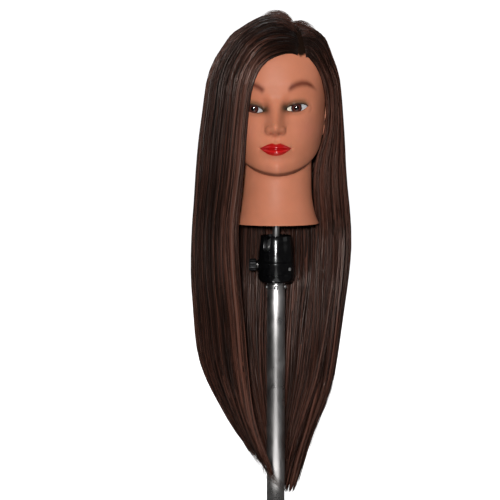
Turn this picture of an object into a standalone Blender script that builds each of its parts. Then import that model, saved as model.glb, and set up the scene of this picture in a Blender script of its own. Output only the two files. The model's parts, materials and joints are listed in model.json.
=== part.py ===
"""Mannequin training head with long hair, held by a ball clamp on a one inch column.

Metres, +Z up. The origin is the centre of the column's foot, and the face looks along -Y,
so the head's own right side is at -X. Heights in the profiles are heights above the foot.
"""

import math

import bmesh
import bpy
import numpy as np
from mathutils import Matrix, Vector
from mathutils.bvhtree import BVHTree

GAP = 0.0003  # clearance between neighbouring pieces
ROUND = 24  # sides of an ordinary turned piece

# Column: a one inch tube with a plug in its foot and a turned spigot in its top
COLUMN_R = 0.0127
COLUMN_WALL = 0.0012
COLUMN_BORE_R = COLUMN_R - COLUMN_WALL
COLUMN_TOP = 0.3287
FOOT_FLANGE = 0.0020
FOOT_DEPTH = 0.0160
SPIGOT_BOTTOM = 0.3000
SPIGOT_R = COLUMN_BORE_R - GAP
JOURNAL_R = 0.0090
JOURNAL_TOP = 0.3575
GROOVE_R = 0.0075
GROOVE_LOW, GROOVE_HIGH = 0.3490, 0.3545
COLUMN_SCREW_Z = 0.3250
COLUMN_SCREW_HEAD_R = 0.0028
COLUMN_SCREW_HEAD_HEIGHT = 0.0018
COLUMN_SCREW_SHANK_R = 0.0015
COLUMN_SCREW_TIP = 0.0060
COLLAR_R = 0.0124
COLLAR_TOP = 0.3327
WASHER_R = 0.0118
WASHER_TOP = 0.3340

# Ball and its housing
BALL_CENTRE_Z = 0.3810
BALL_R = 0.0150
SEAT_R = BALL_R + GAP
HOUSING_TOP = 0.3980
HOUSING_TOP_R = 0.0217
HOUSING_R = 0.0256
HOUSING_BORE_R = 0.0175
HOUSING_SPLIT_Z = 0.3432
HOUSING_BOTTOM = 0.3315
MOUTH_R = 0.0133
MOUTH_FLARE_R = 0.0144
NOTCH_ANGLE = math.radians(233)
NOTCH_WIDTH = 0.0120
NOTCH_FLOOR = 0.3765
BASE_SCREW_CIRCLE_R = 0.0215
BASE_SCREW_ANGLES = [math.radians(a) for a in (20, 140, 260)]
BASE_SCREW_HEAD_R = 0.0028
BASE_SCREW_HEAD_LOW, BASE_SCREW_HEAD_HIGH = 0.3340, 0.3362
BASE_SCREW_TOP = 0.3500
CUP_R = HOUSING_BORE_R - GAP
CUP_HOLE_R = 0.0060
CUP_RIM_R = 0.0140
CUP_BOTTOM = 0.3625
CUP_BEVEL = 0.0045

# Clamp knob, on the head's right side
KNOB_AXIS_Z = 0.3564
KNOB_R = 0.0085
KNOB_INNER, KNOB_OUTER = -0.0284, -0.0380
STUD_R = 0.0039
STUD_TIP = -0.0148
STUD_END = -0.0362
BUSH_R = 0.0057
SHOE_OUTER, SHOE_INNER = -0.0145, -0.0096
SHOE_HALF_WIDTH = 0.0045
SHOE_BOTTOM, SHOE_TOP, SHOE_SHOULDER = 0.3520, 0.3638, 0.3617

# Screw whose tip rides in the spigot's groove: it holds the housing down and brakes its turn
PAN_SCREW_ANGLE = math.radians(317)
PAN_SCREW_Z = 0.3518
PAN_SCREW_R = 0.0024
PAN_SCREW_TIP_R = 0.0018
PAN_SCREW_TIP = 0.0079
PAN_SCREW_NECK = 0.0100
PAN_SCREW_END = 0.0268

# Stem and the plug that the head is pushed onto
STEM_R = 0.00475
STEM_SHOULDER = 0.3960
STEM_TOP = 0.4550
TENON_R = 0.0037
TENON_BOTTOM = 0.3843
NUT_BOTTOM, NUT_TOP = 0.4150, 0.4200
NUT_ACROSS_FLATS = 0.0170
PLUG_BOTTOM, PLUG_TOP = 0.4203, 0.4680
PLUG_LOW_R, PLUG_HIGH_R = 0.0146, 0.0132
RING_HEIGHT = 0.0040
RING_HEIGHTS = {"plug_ring_lower": 0.4300, "plug_ring_upper": 0.4520}
RING_GROOVE_R = 0.0120
SOCKET_BOTTOM, SOCKET_TOP = 0.4140, 0.4730
SOCKET_R = 0.0180
SOCKET_FLANGE_R = 0.0240
SOCKET_FLANGE_TOP = 0.4158
SOCKET_LOW_R, SOCKET_HIGH_R = 0.0157, 0.0143
PLATE_BOTTOM, PLATE_TOP = 0.4161, 0.4200
PLATE_HALF_WIDTH = 0.0535

# Head: one row for each level of the skin, from the neck rim to the crown.
# front height, back height, half width, front depth, back depth, front fullness
HEAD_LEVELS = [
    (0.4135, 0.4135, 0.0600, 0.0620, 0.0600, 2.1),
    (0.4290, 0.4290, 0.0545, 0.0565, 0.0560, 2.1),
    (0.4500, 0.4520, 0.0500, 0.0520, 0.0540, 2.0),
    (0.4660, 0.4760, 0.0497, 0.0510, 0.0560, 2.0),
    (0.4770, 0.5000, 0.0505, 0.0620, 0.0600, 1.9),
    (0.4840, 0.5220, 0.0525, 0.0810, 0.0680, 1.7),
    (0.4900, 0.5400, 0.0560, 0.0900, 0.0770, 1.7),
    (0.5050, 0.5540, 0.0610, 0.0905, 0.0850, 1.9),
    (0.5300, 0.5700, 0.0655, 0.0900, 0.0910, 2.1),
    (0.5600, 0.5900, 0.0680, 0.0880, 0.0960, 2.2),
    (0.5900, 0.6080, 0.0700, 0.0890, 0.0980, 2.3),
    (0.6200, 0.6280, 0.0720, 0.0900, 0.0970, 2.3),
    (0.6490, 0.6510, 0.0710, 0.0850, 0.0930, 2.2),
    (0.6730, 0.6740, 0.0640, 0.0720, 0.0830, 2.1),
    (0.6890, 0.6890, 0.0490, 0.0540, 0.0640, 2.0),
    (0.6980, 0.6980, 0.0270, 0.0300, 0.0360, 2.0),
    (0.7005, 0.7005, 0.0060, 0.0066, 0.0080, 2.0),
]
BACK_FULLNESS = 2.1
SKIN_THICKNESS = 0.0025
FOAM_INSET = 0.0110
FOAM_LOW_LEVEL, FOAM_HIGH_LEVEL = 0.62, 14.3
FOAM_SEGMENTS = 18
EYE_R = 0.0135
EYE_X, EYE_Y, EYE_Z = 0.0290, -0.0635, 0.5760
EYE_OPENING_WIDTH, EYE_OPENING_HEIGHT = 0.0270, 0.0105

# Hair: height, then how far it reaches to the head's right, left, back and front
HAIR_LEVELS = [
    (0.0450, 0.0240, 0.0330, 0.0400, 0.0380),
    (0.0810, 0.0300, 0.0360, 0.0440, 0.0380),
    (0.1100, 0.0490, 0.0470, 0.0500, 0.0400),
    (0.1380, 0.0690, 0.0590, 0.0560, 0.0450),
    (0.1660, 0.0820, 0.0750, 0.0620, 0.0520),
    (0.1940, 0.0990, 0.0830, 0.0680, 0.0590),
    (0.2510, 0.1140, 0.0900, 0.0800, 0.0700),
    (0.3350, 0.1200, 0.1020, 0.0920, 0.0800),
    (0.4130, 0.1170, 0.1040, 0.0990, 0.0840),
    (0.5040, 0.1130, 0.0970, 0.1060, 0.0930),
    (0.5903, 0.1020, 0.0920, 0.1090, 0.1040),
]
HAIR_TOP = 0.7130
HAIR_SPLIT_Z = 0.4130
CROWN_BOTTOM = 0.5903
HAIR_SIDE_THICKNESS = 0.0340
HAIR_FALL_THICKNESS = 0.0220
HAIR_TIP_THICKNESS = 0.0080
HAIR_TO_SKIN = 0.0038
FRINGE_THICKNESS = 0.0035
JAW_REACH = 0.0250  # the hair clears what the head reaches this far above and below


# ---------------------------------------------------------------- helpers


def new_collection(name):
    """Makes a collection in the scene."""
    group = bpy.data.collections.new(name)
    bpy.context.scene.collection.children.link(group)
    return group


def new_material(name, colour, roughness, metallic=0.0):
    """Makes a plain Principled material."""
    material = bpy.data.materials.new(name)
    material.use_nodes = True
    shader = material.node_tree.nodes["Principled BSDF"]
    shader.inputs["Base Color"].default_value = (*colour, 1.0)
    shader.inputs["Roughness"].default_value = roughness
    shader.inputs["Metallic"].default_value = metallic
    return material


def new_pivot(name, location, parent=None):
    """Makes the empty that a body's pieces hang from, on the body's joint axis."""
    pivot = bpy.data.objects.new(name, None)
    PARTS.objects.link(pivot)
    pivot.location = location
    if parent:
        pivot.parent = parent
        pivot.location = Vector(location) - world_location(parent)
    pivot["world"] = location
    return pivot


def world_location(pivot):
    """Gives where a pivot stands in the world."""
    return Vector(pivot["world"])


def new_piece(name, mesh, material, pivot):
    """Adds a piece whose mesh is in world positions, and hangs it on its pivot."""
    mesh.name = name
    mesh.materials.append(material)
    mesh.transform(Matrix.Translation(-world_location(pivot)))
    piece = bpy.data.objects.new(name, mesh)
    piece.parent = pivot
    PARTS.objects.link(piece)
    return piece


def shade_round(mesh):
    """Shades a mesh smooth, with its real edges kept sharp."""
    mesh.shade_smooth()
    mesh.set_sharp_from_angle(angle=math.radians(35))


def mesh_from(bm):
    """Turns a bmesh into a mesh whose faces point out."""
    bmesh.ops.recalc_face_normals(bm, faces=bm.faces)
    mesh = bpy.data.meshes.new("mesh")
    bm.to_mesh(mesh)
    bm.free()
    shade_round(mesh)
    return mesh


def turned(name, profile, material, pivot, closed=False, steps=ROUND, along=None):
    """Turns a profile of radius and height about +Z with a Screw modifier.

    A closed profile makes a ring, and an open one starts and ends on the axis. With along,
    a matrix, the turned piece is laid on another axis.
    """
    count = len(profile)
    edges = [(i, i + 1) for i in range(count - 1)]
    if closed:
        edges.append((count - 1, 0))
    mesh = bpy.data.meshes.new(name)
    mesh.from_pydata([(r, 0.0, z) for r, z in profile], edges, [])
    mesh.materials.append(material)
    piece = bpy.data.objects.new(name, mesh)
    PARTS.objects.link(piece)
    screw = piece.modifiers.new("Turn", "SCREW")
    screw.axis = "Z"
    screw.angle = math.tau
    screw.steps = steps
    screw.render_steps = steps
    screw.use_merge_vertices = True
    screw.merge_threshold = 0.00001
    screw.use_smooth_shade = False
    piece.parent = pivot
    shift = Matrix.Translation(-world_location(pivot))
    piece.matrix_local = shift @ along if along else shift
    return piece


def radial(angle, z):
    """Lays a piece turned about +Z along a level radius, so its height becomes its radius."""
    across = Matrix.Rotation(math.pi / 2, 4, "Y")
    return Matrix.Translation((0, 0, z)) @ Matrix.Rotation(angle, 4, "Z") @ across


def rod_cutter(name, radius, low, high, place, sides=20):
    """Makes a cylinder that cuts holes, from low to high along its own +Z."""
    bm = bmesh.new()
    middle = Matrix.Translation((0, 0, (low + high) / 2))
    bmesh.ops.create_cone(
        bm, cap_ends=True, segments=sides, radius1=radius, radius2=radius,
        depth=high - low, matrix=place @ middle,
    )
    return new_cutter(name, mesh_from(bm))


def box_cutter(name, low, high, place):
    """Makes a box that cuts, between two corners in its own place."""
    low, high = Vector(low), Vector(high)
    size = Matrix.Diagonal((*(high - low), 1.0))
    bm = bmesh.new()
    bmesh.ops.create_cube(bm, size=1.0, matrix=place @ Matrix.Translation((low + high) / 2) @ size)
    return new_cutter(name, mesh_from(bm))


def ball_cutter(name, radius, centre, stretch=(1, 1, 1)):
    """Makes a sphere or an ellipsoid that cuts."""
    bm = bmesh.new()
    place = Matrix.Translation(centre) @ Matrix.Diagonal((*stretch, 1.0))
    bmesh.ops.create_uvsphere(bm, u_segments=16, v_segments=10, radius=radius, matrix=place)
    return new_cutter(name, mesh_from(bm))


def new_cutter(name, mesh):
    """Adds a cutter, which isn't a piece of the object."""
    cutter = bpy.data.objects.new(name, mesh)
    cutter.hide_render = True
    cutter.display_type = "WIRE"
    CUTTERS.objects.link(cutter)
    return cutter


def cut(piece, *cutters):
    """Takes each cutter out of a piece."""
    for cutter in cutters:
        boolean = piece.modifiers.new("Cut", "BOOLEAN")
        boolean.operation = "DIFFERENCE"
        boolean.solver = "EXACT"
        boolean.object = cutter


def arc(centre_z, radius, from_r, to_r, points):
    """Gives the points of a sphere's upper profile between two distances from its axis."""
    angles = np.linspace(math.acos(from_r / radius), math.acos(to_r / radius), points)
    return [(radius * math.cos(a), centre_z + radius * math.sin(a)) for a in angles]


def join_rings(bm, rings):
    """Joins a stack of rings of points, each with as many, by bands of faces."""
    made = [[bm.verts.new(p) for p in ring] for ring in rings]
    for low, high in zip(made, made[1:]):
        for i in range(len(low)):
            j = (i + 1) % len(low)
            bm.faces.new((low[i], low[j], high[j], high[i]))
    return made


def grid_solid(outer, inner, wrap=False):
    """Builds the closed solid between two matching grids of points.

    Each grid is a list of rows. With wrap, each row is a ring and the last row is capped.
    """
    bm = bmesh.new()
    rows, columns = len(outer), len(outer[0])
    skins = [[[bm.verts.new(p) for p in row] for row in grid] for grid in (outer, inner)]
    spans = columns if wrap else columns - 1
    for skin in skins:
        for i in range(rows - 1):
            for j in range(spans):
                k = (j + 1) % columns
                bm.faces.new((skin[i][j], skin[i][k], skin[i + 1][k], skin[i + 1][j]))
    border = [(0, j, 0, (j + 1) % columns) for j in range(spans)]
    if wrap:
        for skin in skins:
            bm.faces.new(skin[-1])
    else:
        border += [(rows - 1, j, rows - 1, j + 1) for j in range(spans)]
        border += [(i, 0, i + 1, 0) for i in range(rows - 1)]
        border += [(i, columns - 1, i + 1, columns - 1) for i in range(rows - 1)]
    for a, b, c, d in border:
        bm.faces.new((skins[0][a][b], skins[0][c][d], skins[1][c][d], skins[1][a][b]))
    return mesh_from(bm)


# ---------------------------------------------------------------- column


def make_column(pivot):
    """Makes the tube, its foot plug, the spigot, the collar and the four screws."""
    turned(
        "column_end_plug",
        [
            (0, FOOT_DEPTH), (SPIGOT_R - 0.0010, FOOT_DEPTH), (SPIGOT_R, FOOT_DEPTH - 0.0020),
            (SPIGOT_R, FOOT_FLANGE), (COLUMN_R, FOOT_FLANGE), (COLUMN_R, 0.0004),
            (COLUMN_R - 0.0004, 0), (0, 0),
        ],
        BLACK_PLASTIC, pivot,
    )
    tube_bottom = FOOT_FLANGE + GAP
    tube = turned(
        "column_tube",
        [
            (COLUMN_R, COLUMN_TOP), (COLUMN_R, tube_bottom),
            (COLUMN_BORE_R, tube_bottom), (COLUMN_BORE_R, COLUMN_TOP),
        ],
        TUBE_STEEL, pivot, closed=True,
    )
    spigot = turned(
        "column_spigot",
        [
            (0, JOURNAL_TOP), (JOURNAL_R - 0.0008, JOURNAL_TOP), (JOURNAL_R, JOURNAL_TOP - 0.0008),
            (JOURNAL_R, GROOVE_HIGH), (GROOVE_R, GROOVE_HIGH), (GROOVE_R, GROOVE_LOW),
            (JOURNAL_R, GROOVE_LOW), (JOURNAL_R, COLUMN_TOP), (SPIGOT_R, COLUMN_TOP),
            (SPIGOT_R, SPIGOT_BOTTOM), (0, SPIGOT_BOTTOM),
        ],
        BRIGHT_STEEL, pivot,
    )
    turned(
        "collar_ring",
        [
            (COLLAR_R - 0.0006, COLLAR_TOP), (COLLAR_R, COLLAR_TOP - 0.0006),
            (COLLAR_R, COLUMN_TOP + 0.0008), (COLLAR_R - 0.0005, COLUMN_TOP + GAP),
            (JOURNAL_R + GAP, COLUMN_TOP + GAP), (JOURNAL_R + GAP, COLLAR_TOP),
        ],
        BRIGHT_STEEL, pivot, closed=True,
    )
    turned(
        "thrust_washer",
        [
            (WASHER_R, WASHER_TOP), (WASHER_R, COLLAR_TOP + GAP),
            (JOURNAL_R + GAP, COLLAR_TOP + GAP), (JOURNAL_R + GAP, WASHER_TOP),
        ],
        NYLON, pivot, closed=True,
    )
    holes = [
        rod_cutter(
            f"column_hole_{i}", COLUMN_SCREW_SHANK_R + GAP, -0.02, 0.02,
            radial(i * math.pi / 2, COLUMN_SCREW_Z), sides=12,
        )
        for i in range(2)
    ]
    cut(tube, *holes)
    cut(spigot, *holes)
    seat = COLUMN_R + GAP
    crown = seat + COLUMN_SCREW_HEAD_HEIGHT
    for i, side in enumerate(("left", "back", "right", "front")):
        turned(
            f"column_screw_{side}",
            [
                (0, crown), (COLUMN_SCREW_HEAD_R * 0.55, crown - 0.0003),
                (COLUMN_SCREW_HEAD_R * 0.9, crown - 0.0009), (COLUMN_SCREW_HEAD_R, seat),
                (COLUMN_SCREW_SHANK_R, seat), (COLUMN_SCREW_SHANK_R, COLUMN_SCREW_TIP),
                (0, COLUMN_SCREW_TIP),
            ],
            BRIGHT_STEEL, pivot, steps=12, along=radial(i * math.pi / 2, COLUMN_SCREW_Z),
        )


# ---------------------------------------------------------------- housing


def make_housing(pivot):
    """Makes the notched shell, its base with three screws, and the knob's bush."""
    seat_mouth_z = BALL_CENTRE_Z + math.sqrt(SEAT_R**2 - MOUTH_R**2)
    shell_bottom = HOUSING_SPLIT_Z + GAP
    shell = turned(
        "housing_shell",
        [
            (MOUTH_FLARE_R, HOUSING_TOP), (HOUSING_TOP_R - 0.0008, HOUSING_TOP),
            (HOUSING_TOP_R, HOUSING_TOP - 0.0008), (HOUSING_TOP_R + 0.0004, 0.3900),
            (0.0240, 0.3760), (0.0249, 0.3660), (0.0252, 0.3622), (0.0243, 0.3616),
            (0.0243, 0.3606), (0.0254, 0.3600), (HOUSING_R, 0.3580),
            (HOUSING_R, shell_bottom + 0.0006), (HOUSING_R - 0.0006, shell_bottom),
            (HOUSING_BORE_R, shell_bottom), (HOUSING_BORE_R, BALL_CENTRE_Z - 0.0020),
            *arc(BALL_CENTRE_Z, SEAT_R, SEAT_R, MOUTH_R, 5), (MOUTH_R, seat_mouth_z + 0.0030),
        ],
        BLACK_PLASTIC, pivot, closed=True,
    )
    base = turned(
        "housing_base",
        [
            (HOUSING_R - 0.0006, HOUSING_SPLIT_Z), (HOUSING_R, HOUSING_SPLIT_Z - 0.0006),
            (HOUSING_R - 0.0002, 0.3392), (0.0243, 0.3355), (0.0222, 0.3328),
            (0.0190, HOUSING_BOTTOM), (0.0132, HOUSING_BOTTOM), (0.0132, WASHER_TOP + GAP),
            (JOURNAL_R + GAP, WASHER_TOP + GAP), (JOURNAL_R + GAP, HOUSING_SPLIT_Z),
        ],
        BLACK_PLASTIC, pivot, closed=True,
    )
    notch = Matrix.Rotation(NOTCH_ANGLE, 4, "Z")
    half = NOTCH_WIDTH / 2
    cut(
        shell,
        box_cutter(
            "notch_slot", (0.006, -half, NOTCH_FLOOR + half), (0.04, half, HOUSING_TOP + 0.01), notch
        ),
        rod_cutter("notch_round", half, 0.006, 0.04, radial(NOTCH_ANGLE, NOTCH_FLOOR + half)),
        rod_cutter("bush_hole", BUSH_R + GAP, 0.012, 0.04, radial(math.pi, KNOB_AXIS_Z)),
        rod_cutter(
            "pan_screw_hole", PAN_SCREW_R + GAP, 0.012, 0.04, radial(PAN_SCREW_ANGLE, PAN_SCREW_Z)
        ),
    )
    for i, angle in enumerate(BASE_SCREW_ANGLES, start=1):
        x = BASE_SCREW_CIRCLE_R * math.cos(angle)
        y = BASE_SCREW_CIRCLE_R * math.sin(angle)
        place = Matrix.Translation((x, y, 0))
        shank_r = COLUMN_SCREW_SHANK_R
        hole = rod_cutter(
            f"base_screw_hole_{i}", shank_r + GAP, 0.32, BASE_SCREW_TOP + GAP, place, sides=12
        )
        recess = rod_cutter(
            f"base_screw_recess_{i}", BASE_SCREW_HEAD_R + GAP, 0.32, BASE_SCREW_HEAD_HIGH + GAP,
            place, sides=16,
        )
        cut(shell, hole)
        cut(base, hole, recess)
        turned(
            f"base_screw_{i}",
            [
                (0, BASE_SCREW_TOP), (shank_r, BASE_SCREW_TOP), (shank_r, BASE_SCREW_HEAD_HIGH),
                (BASE_SCREW_HEAD_R, BASE_SCREW_HEAD_HIGH), (BASE_SCREW_HEAD_R, BASE_SCREW_HEAD_LOW),
                (0, BASE_SCREW_HEAD_LOW),
            ],
            BRIGHT_STEEL, pivot, steps=12, along=place,
        )
    bore = STUD_R + GAP
    turned(
        "lock_bush",
        [
            (BUSH_R, 0.0278), (BUSH_R + 0.0016, 0.0272), (BUSH_R + 0.0016, 0.0260), (BUSH_R, 0.0260),
            (BUSH_R, 0.0180), (bore, 0.0180), (bore, 0.0278),
        ],
        BRIGHT_STEEL, pivot, closed=True, steps=20, along=radial(math.pi, KNOB_AXIS_Z),
    )


def make_seat_cup(pivot):
    """Makes the nylon cup that the clamp shoe lifts against the ball."""
    low_arc = [(r, BALL_CENTRE_Z - math.sqrt(SEAT_R**2 - r**2)) for r in
               np.linspace(CUP_HOLE_R, CUP_RIM_R, 5)]
    turned(
        "seat_cup",
        [
            (CUP_R, low_arc[-1][1] - 0.0004), (CUP_R, CUP_BOTTOM + CUP_BEVEL),
            (CUP_R - CUP_BEVEL, CUP_BOTTOM), (CUP_HOLE_R, CUP_BOTTOM), *low_arc,
        ],
        NYLON, pivot, closed=True,
    )


def make_clamp_shoe(pivot):
    """Makes the sliding wedge that the knob's stud pushes under the seat cup."""
    outline = [
        (SHOE_OUTER, SHOE_BOTTOM), (SHOE_INNER, SHOE_BOTTOM), (SHOE_INNER, SHOE_SHOULDER),
        (SHOE_OUTER + SHOE_TOP - SHOE_SHOULDER, SHOE_SHOULDER), (SHOE_OUTER, SHOE_TOP),
    ]
    bm = bmesh.new()
    face = bm.faces.new([bm.verts.new((x, -SHOE_HALF_WIDTH, z)) for x, z in outline])
    side = bmesh.ops.extrude_face_region(bm, geom=[face])["geom"]
    moved = [v for v in side if isinstance(v, bmesh.types.BMVert)]
    bmesh.ops.translate(bm, verts=moved, vec=(0, 2 * SHOE_HALF_WIDTH, 0))
    new_piece("clamp_shoe", mesh_from(bm), BRASS, pivot)


def make_knob(pivot):
    """Makes the fluted clamp knob and its stud, both along -X."""
    flutes = 12
    sides = flutes * 4
    bm = bmesh.new()
    rims = []
    for x, inset in ((KNOB_INNER, 0.0006), (KNOB_INNER - 0.0006, 0), (KNOB_OUTER + 0.0012, 0),
                     (KNOB_OUTER, 0.0012)):
        ring = []
        for i in range(sides):
            angle = math.tau * i / sides
            radius = KNOB_R - inset - 0.0004 * (1 - math.cos(flutes * angle))
            ring.append((x, radius * math.cos(angle), KNOB_AXIS_Z + radius * math.sin(angle)))
        rims.append(ring)
    made = join_rings(bm, rims)
    bm.faces.new(made[0])
    bm.faces.new(made[-1])
    knob = new_piece("lock_knob", mesh_from(bm), BLACK_PLASTIC, pivot)
    cut(
        knob,
        rod_cutter("knob_bore", STUD_R + GAP, 0.02, -STUD_END + GAP, radial(math.pi, KNOB_AXIS_Z)),
    )
    turned(
        "lock_stud",
        [
            (0, -STUD_END), (STUD_R, -STUD_END), (STUD_R, -STUD_TIP + 0.0012),
            (STUD_R - 0.0012, -STUD_TIP), (0, -STUD_TIP),
        ],
        BRIGHT_STEEL, pivot, steps=16, along=radial(math.pi, KNOB_AXIS_Z),
    )


def make_pan_screw(pivot):
    """Makes the grub screw whose tip runs in the spigot's groove, with a driver slot."""
    screw = turned(
        "pan_screw",
        [
            (0, PAN_SCREW_END), (PAN_SCREW_R - 0.0004, PAN_SCREW_END),
            (PAN_SCREW_R, PAN_SCREW_END - 0.0004), (PAN_SCREW_R, PAN_SCREW_NECK),
            (PAN_SCREW_TIP_R, PAN_SCREW_NECK - 0.0006), (PAN_SCREW_TIP_R, PAN_SCREW_TIP),
            (0, PAN_SCREW_TIP),
        ],
        BRIGHT_STEEL, pivot, steps=16, along=radial(PAN_SCREW_ANGLE, PAN_SCREW_Z),
    )
    place = Matrix.Translation((0, 0, PAN_SCREW_Z)) @ Matrix.Rotation(PAN_SCREW_ANGLE, 4, "Z")
    slot_half = 0.0004
    cut(
        screw,
        box_cutter(
            "driver_slot", (PAN_SCREW_END - 0.0010, -0.004, -slot_half),
            (PAN_SCREW_END + 0.002, 0.004, slot_half), place,
        ),
    )


# ---------------------------------------------------------------- stem and neck fittings


def taper(z, low_z, high_z, low_r, high_r):
    """Gives the radius of a straight taper at a height."""
    return low_r + (high_r - low_r) * (z - low_z) / (high_z - low_z)


def make_stem(pivot):
    """Makes the ball, the stem, the jam nut, the tapered plug and its two rubber rings."""
    top = math.sqrt(BALL_R**2 - (TENON_R + GAP) ** 2)
    heights = np.linspace(math.asin(top / BALL_R), -math.pi / 2, 13)
    outline = [(BALL_R * math.cos(a), BALL_CENTRE_Z + BALL_R * math.sin(a)) for a in heights]
    outline[-1] = (0, BALL_CENTRE_Z - BALL_R)
    turned(
        "ball",
        [(0, TENON_BOTTOM - GAP), (TENON_R + GAP, TENON_BOTTOM - GAP), *outline],
        BRIGHT_STEEL, pivot,
    )
    turned(
        "stem",
        [
            (0, STEM_TOP), (STEM_R - 0.0008, STEM_TOP), (STEM_R, STEM_TOP - 0.0008),
            (STEM_R, STEM_SHOULDER), (TENON_R, STEM_SHOULDER), (TENON_R, TENON_BOTTOM),
            (0, TENON_BOTTOM),
        ],
        BRIGHT_STEEL, pivot, steps=16,
    )
    bm = bmesh.new()
    across_corners = NUT_ACROSS_FLATS / math.sqrt(3)
    bmesh.ops.create_cone(
        bm, cap_ends=True, segments=6, radius1=across_corners, radius2=across_corners,
        depth=NUT_TOP - NUT_BOTTOM, matrix=Matrix.Translation((0, 0, (NUT_BOTTOM + NUT_TOP) / 2)),
    )
    nut = new_piece("jam_nut", mesh_from(bm), BRIGHT_STEEL, pivot)
    cut(nut, rod_cutter("nut_bore", STEM_R + GAP, 0.41, 0.43, Matrix.Identity(4)))
    profile = [
        (0, PLUG_TOP), (PLUG_HIGH_R - 0.0020, PLUG_TOP), (PLUG_HIGH_R, PLUG_TOP - 0.0020),
    ]
    for low in sorted(RING_HEIGHTS.values(), reverse=True):
        for z in (low + RING_HEIGHT + GAP, low - GAP):
            wall = (taper(z, PLUG_BOTTOM, PLUG_TOP, PLUG_LOW_R, PLUG_HIGH_R), z)
            groove = (RING_GROOVE_R, z)
            profile += [wall, groove] if z > low else [groove, wall]
    bore = STEM_R + GAP
    profile += [(PLUG_LOW_R, PLUG_BOTTOM), (bore, PLUG_BOTTOM), (bore, STEM_TOP + GAP),
                (0, STEM_TOP + GAP)]
    turned("mounting_plug", profile, BLACK_PLASTIC, pivot)
    for name, low in RING_HEIGHTS.items():
        high = low + RING_HEIGHT
        rim = taper(high, SOCKET_BOTTOM, SOCKET_TOP, SOCKET_LOW_R, SOCKET_HIGH_R) - GAP
        turned(
            name,
            [
                (rim - 0.0006, high), (rim, high - 0.0008), (rim, low + 0.0008), (rim - 0.0006, low),
                (RING_GROOVE_R + GAP, low), (RING_GROOVE_R + GAP, high),
            ],
            RUBBER, pivot, closed=True,
        )


def make_neck_fittings(pivot):
    """Makes the socket sleeve in the neck and the plate that closes the neck's rim."""
    turned(
        "neck_socket",
        [
            (0, SOCKET_TOP), (SOCKET_R, SOCKET_TOP), (SOCKET_R, SOCKET_FLANGE_TOP),
            (SOCKET_FLANGE_R, SOCKET_FLANGE_TOP), (SOCKET_FLANGE_R, SOCKET_BOTTOM),
            (SOCKET_LOW_R, SOCKET_BOTTOM), (SOCKET_HIGH_R, SOCKET_TOP - 0.0030),
            (0, SOCKET_TOP - 0.0030),
        ],
        GREY_PLASTIC, pivot,
    )
    bm = bmesh.new()
    bmesh.ops.create_cone(
        bm, cap_ends=True, segments=32, radius1=PLATE_HALF_WIDTH, radius2=PLATE_HALF_WIDTH,
        depth=PLATE_TOP - PLATE_BOTTOM,
        matrix=Matrix.Translation((0, 0, (PLATE_BOTTOM + PLATE_TOP) / 2)),
    )
    plate = new_piece("neck_base_plate", mesh_from(bm), GREY_PLASTIC, pivot)
    cut(plate, rod_cutter("plate_hole", SOCKET_R + GAP, 0.41, 0.43, Matrix.Identity(4), sides=24))


# ---------------------------------------------------------------- head


def head_level(level):
    """Gives the head's measures at a level, which may lie between two rows."""
    rows = np.array(HEAD_LEVELS)
    last = len(rows) - 1
    i = min(int(level), last - 1)
    t = level - i
    before, here = rows[max(i - 1, 0)], rows[i]
    after, beyond = rows[i + 1], rows[min(i + 2, last)]
    slope_in, slope_out = (after - before) / 2, (beyond - here) / 2
    return (
        (2 * t**3 - 3 * t**2 + 1) * here + (t**3 - 2 * t**2 + t) * slope_in
        + (3 * t**2 - 2 * t**3) * after + (t**3 - t**2) * slope_out
    )


def bump(x, z, centre_x, centre_z, size_x, size_z):
    """Gives a round bump that is 1 at its centre."""
    return math.exp(-(((x - centre_x) / size_x) ** 2) - ((z - centre_z) / size_z) ** 2)


def face_relief(x, z):
    """Gives how far the features stand forward of the plain head."""
    side = abs(x)
    nose_width = 0.0075 + 0.0050 * np.clip((0.575 - z) / 0.03, 0, 1)
    ridge = np.interp(z, (0.536, 0.543, 0.551, 0.565, 0.585, 0.600), (0, 0.011, 0.023, 0.014, 0.006, 0))
    return (
        ridge * math.exp(-((x / nose_width) ** 2))
        + 0.0090 * bump(x, z, 0, 0.520, 0.021, 0.013)
        + 0.0030 * bump(x, z, 0, 0.496, 0.018, 0.010)
        - 0.0085 * bump(side, z, EYE_X, 0.580, 0.017, 0.011)
        + 0.0020 * bump(side, z, 0.024, 0.606, 0.022, 0.007)
    )


def head_ring(level, segments, inset=0.0, relief=True):
    """Gives the ring of skin points at a level, starting at the front."""
    z_front, z_back, half_width, front, back, fullness = head_level(level)
    ring = []
    for i in range(segments):
        angle = math.tau * i / segments
        across, along = math.sin(angle), math.cos(angle)
        power = 2 / (fullness if along > 0 else BACK_FULLNESS)
        x = math.copysign(abs(across) ** power, across) * (half_width - inset)
        depth = (front if along > 0 else back) - inset
        y = -math.copysign(abs(along) ** power, along) * depth
        z = z_front + (z_back - z_front) * (1 - along) / 2
        if relief and along > 0:
            y -= face_relief(x, z) * min(1.0, along * 2)
        ring.append((x, y, z))
    return ring


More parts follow.
